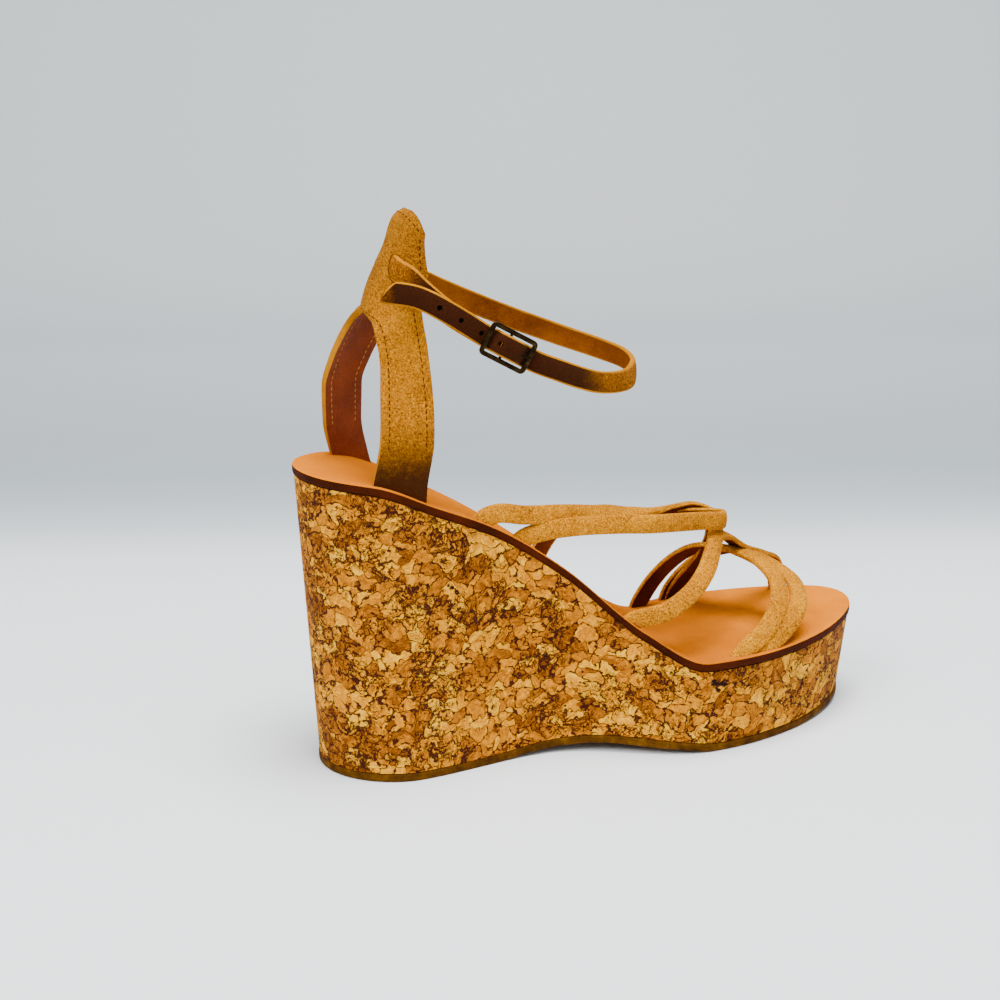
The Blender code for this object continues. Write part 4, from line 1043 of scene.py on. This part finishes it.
slope = bucklePoint(1, 0, 0) - bucklePoint(0, 0, 0)
points = [bucklePoint(a, 0, n) for a, n, _ in fold]
faces = [-(slope * f[0] + out * f[1]) for _, _, f in fold]
points += [anklePoint(*row[:3]) for row in toSlits + roundTheFront]
faces += [facing(*row[3:]) for row in toSlits + roundTheFront]
points += [bucklePoint(a, 0, n) for a, n in wave]
faces += [out] * len(wave)
points += [anklePoint(*row[:3]) for row in pastTheBuckle]
faces += [facing(*row[3:]) for row in pastTheBuckle]
anklePath = smoothPath(points, faces, 0.0012, 6.0)
ankleStrap = ribbonPiece("ankleStrap", anklePath, ankle["width"], ankle["thickness"], ankle["tipSlant"])
wear(ankleStrap, finish["ankle"], finish["cutEdge"], finish["ankleLining"])

# Holes from the prong's towards the tip
places, ahead, face = anklePath
lengths = np.concatenate([[0], np.cumsum(np.linalg.norm(np.diff(places, axis=0), axis=1))])
prongHole = bucklePoint(0.45 * reach, 0, 0)
late = np.where(lengths > lengths[-1] * 0.7)[0]
nearest = late[np.argmin(np.linalg.norm(places[late] - prongHole, axis=1))]
for k in range(1, ankle["holes"] + 1):
    at = lengths[nearest] + k * ankle["holePitch"]
    place = Vector([np.interp(at, lengths, places[:, c]) for c in range(3)]) + Vector(toWorld)
    through = Vector([np.interp(at, lengths, face[:, c]) for c in range(3)])
    bpy.ops.object.select_all(action="DESELECT")
    bpy.ops.mesh.primitive_cylinder_add(vertices=20, radius=ankle["hole"] / 2, depth=0.005, location=place,
                                        rotation=through.to_track_quat("Z", "Y").to_euler())
    cutWith(ankleStrap, bpy.context.active_object)
bpy.ops.object.shade_smooth_by_angle(angle=math.radians(45))
keep(ankleStrap, "ankle_suede", "ankle_strap")

# Slots of the tab for the strap
behind = [i for i in range(len(places) // 2) if places[i, 0] < 0.20 * length]
throughTab = [part[behind[0]:behind[-1] + 1] for part in anklePath]
cutter = ribbonPiece("slots", throughTab, ankle["width"] + 0.0006, ankle["thickness"] + 0.0006)
cutWith(heelCounter, cutter)
bpy.ops.object.shade_smooth_by_angle(angle=math.radians(45))
keep(heelCounter, "counter_suede", "heel_counter")
print("ankle strap made, length", round(float(lengths[-1]), 3))


# Buckle: ring with rounded corners, staple for the centre bar, wire prong
def tube(name, points, radius, sides=16, closed=False, flat=(1, 1)):
    # wire along places of the buckle's own plane; flat gives its size across the path and out
    points = np.array(points, float)
    if closed:
        ahead = np.roll(points, -1, axis=0) - np.roll(points, 1, axis=0)
    else:
        ahead = np.gradient(points, axis=0)
    ahead /= np.linalg.norm(ahead, axis=1)[:, None]
    base = np.array([0, 0, 1.0]) if closed else np.array([0, 1.0, 0])
    radii = np.broadcast_to(radius, len(points))
    count = len(points) if closed else len(points) - 1

    def place(i, j):
        i = i % len(points)
        side = np.cross(ahead[i], base)
        side /= np.linalg.norm(side, axis=1)[:, None]
        a = 2 * np.pi * (j % sides) / sides
        c = np.sign(np.cos(a)) * np.abs(np.cos(a)) ** (0.55 if closed else 1)
        s = np.sign(np.sin(a)) * np.abs(np.sin(a)) ** (0.55 if closed else 1)
        local = points[i] + side * (c * radii[i] * flat[0])[:, None] + base * (s * radii[i] * flat[1])[:, None]
        return np.array([bucklePoint(*p) for p in local])

    piece = gridPiece(name, count, sides, place)
    closePiece(piece, 50, not closed)
    wear(piece, finish["brass"])
    return piece


def roundedLoop(width, height, corner, steps=8):
    loopPoints = []
    for k, (sx, sy) in enumerate(((1, 1), (-1, 1), (-1, -1), (1, -1))):
        for step in range(steps + 1):
            a = math.pi / 2 * (k + step / steps)
            loopPoints.append((sx * (width / 2 - corner) + corner * math.cos(a),
                               sy * (height / 2 - corner) + corner * math.sin(a), 0))
    return loopPoints


bar = buckle["barWidth"]
ringPiece = tube("buckleRing", roundedLoop(buckle["length"] - bar, buckle["height"] - bar, buckle["corner"]),
                 bar / 2, 20, True, (1, buckle["barDepth"] / bar))
side = (buckle["height"] - bar) / 2
staple = [(0, -side, 0), (0, -side, barLevel * 0.5), (0, -side, barLevel + 0.0006), (0, -side + 0.0006, barLevel)]
staple += [(0, y, barLevel) for y in np.linspace(-side + 0.0012, side - 0.0012, 8)]
staple += [(0, side - 0.0006, barLevel), (0, side, barLevel + 0.0006), (0, side, barLevel * 0.5), (0, side, 0)]


def stapleTube(name, points, radius, sides=12):
    points = np.array(points, float)
    ahead = np.gradient(points, axis=0)
    ahead /= np.linalg.norm(ahead, axis=1)[:, None]

    def place(i, j):
        base = np.array([1.0, 0, 0])
        side = np.cross(ahead[i], base)
        a = 2 * np.pi * (j % sides) / sides
        local = points[i] + side * (np.cos(a) * radius)[:, None] + base * (np.sin(a) * radius)[:, None]
        return np.array([bucklePoint(*p) for p in local])

    piece = gridPiece(name, len(points) - 1, sides, place)
    closePiece(piece, 50)
    wear(piece, finish["brass"])
    return piece


centreBar = stapleTube("centreBar", staple, buckle["centreBar"])
frameRing = joined("buckleFrame", [ringPiece, centreBar])
keep(frameRing, "buckle_brass", "buckle_frame")
eyeRadius = buckle["centreBar"] + buckle["clearance"] + buckle["prong"] / 2
rest = buckle["barDepth"] / 2 + buckle["prong"] / 2 + buckle["clearance"]
prongLine = []
for k in range(21):
    a = math.radians(290 + (30 - 290) * k / 20)
    prongLine.append((eyeRadius * math.cos(a), 0, barLevel + eyeRadius * math.sin(a)))
prongLine += [(reach * 0.42, 0, rest * 0.5), (reach * 0.62, 0, rest), (reach * 0.8, 0, rest), (reach + 0.0004, 0, rest)]
prongRadii = np.array([1.0] * 21 + [0.95, 0.9, 0.85, 0.7]) * buckle["prong"] / 2
prongPiece = tube("bucklePin", prongLine, prongRadii, 14)
keep(prongPiece, "prong_brass", "buckle_prong")
print("buckle made")

keep(wedge, "cork", "cork_wedge")
keep(cover, "footbed_leather", "insole")

# Stage: flat paper, pale by the shoe, with painted shade in a darker band farther back that stands in for a dimmer
# backdrop, lighter again beyond it, rolled up low at its far end
stage = {"near": (230, 234, 236), "paintedShadeGrey": (160, 169, 174), "far": (208, 214, 217), "rollAt": 1.0, "bend": 0.45,
         "sky": (0.86, 0.90, 0.94), "skyStrength": 0.32}
floorMat, floorTree, floorShader = newMaterial("paper", 0.9)
behind = floorTree.nodes.new("ShaderNodeVectorMath")
behind.operation = "DOT_PRODUCT"
behind.inputs[1].default_value = level
floorTree.links.new(objectCoords(floorTree), behind.inputs[0])
# painted shade: the paper darkens to a band well behind the shoe and lightens again, standing in for the uneven light
# on a backdrop
paper = rampNode(floorTree, mapRange(floorTree, behind.outputs["Value"], 0.0, 1.2, smooth=False), [
    (0.165, linear(*stage["near"])),
    (0.205, linear(222, 227, 230)),
    (0.26, linear(188, 196, 200)),
    (0.31, linear(168, 176, 181)),
    (0.36, linear(*stage["paintedShadeGrey"])),
    (0.45, linear(166, 174, 179)),
    (0.70, linear(196, 203, 207)),
    (1.00, linear(*stage["far"])),
])
floorTree.links.new(paper.outputs["Color"], floorShader.inputs["Base Color"])


def floorPlace(i, j):
    # flat, then a quarter turn, then straight up
    run = i / 200 * 4.9 - 3.0
    over = np.clip(run - stage["rollAt"], 0, None)
    angle = np.minimum(over / stage["bend"], np.pi / 2)
    beyond = np.maximum(0, over - stage["bend"] * np.pi / 2)
    depth = np.minimum(run, stage["rollAt"]) + stage["bend"] * np.sin(angle)
    height = stage["bend"] * (1 - np.cos(angle)) + beyond
    across = (j / 4 - 0.5) * 9
    return np.stack([level.x * depth + sideways.x * across, level.y * depth + sideways.y * across, height], axis=-1)


floor = gridPiece("floorSweep", 200, 4, floorPlace)
bpy.ops.object.shade_smooth()
if floor.data.polygons[0].normal.z < 0:
    floor.data.flip_normals()
wear(floor, floorMat)

lights = [    # name, to the right, towards the camera, height, size, watts
    ("keyLight", -0.8, 0.9, 1.2, 0.9, 29),
    ("fillLight", 1.1, 1.0, 0.7, 1.2, 6),
    ("topLight", 0.15, 0.15, 1.4, 0.8, 42),
]
for name, across, near, high, size, watts in lights:
    data = bpy.data.lights.new(name, "AREA")
    data.size = size
    data.energy = watts
    lamp = bpy.data.objects.new(name, data)
    lamp.location = sideways * across - level * near + Vector((0, 0, high))
    lamp.rotation_euler = (Vector((0, 0, 0.08)) - lamp.location).to_track_quat("-Z", "Y").to_euler()
    bpy.context.scene.collection.objects.link(lamp)
world = bpy.data.worlds.new("studio")
world.use_nodes = True
world.node_tree.nodes["Background"].inputs["Color"].default_value = (*stage["sky"], 1)
world.node_tree.nodes["Background"].inputs["Strength"].default_value = stage["skyStrength"]
bpy.context.scene.world = world
print("stage set")
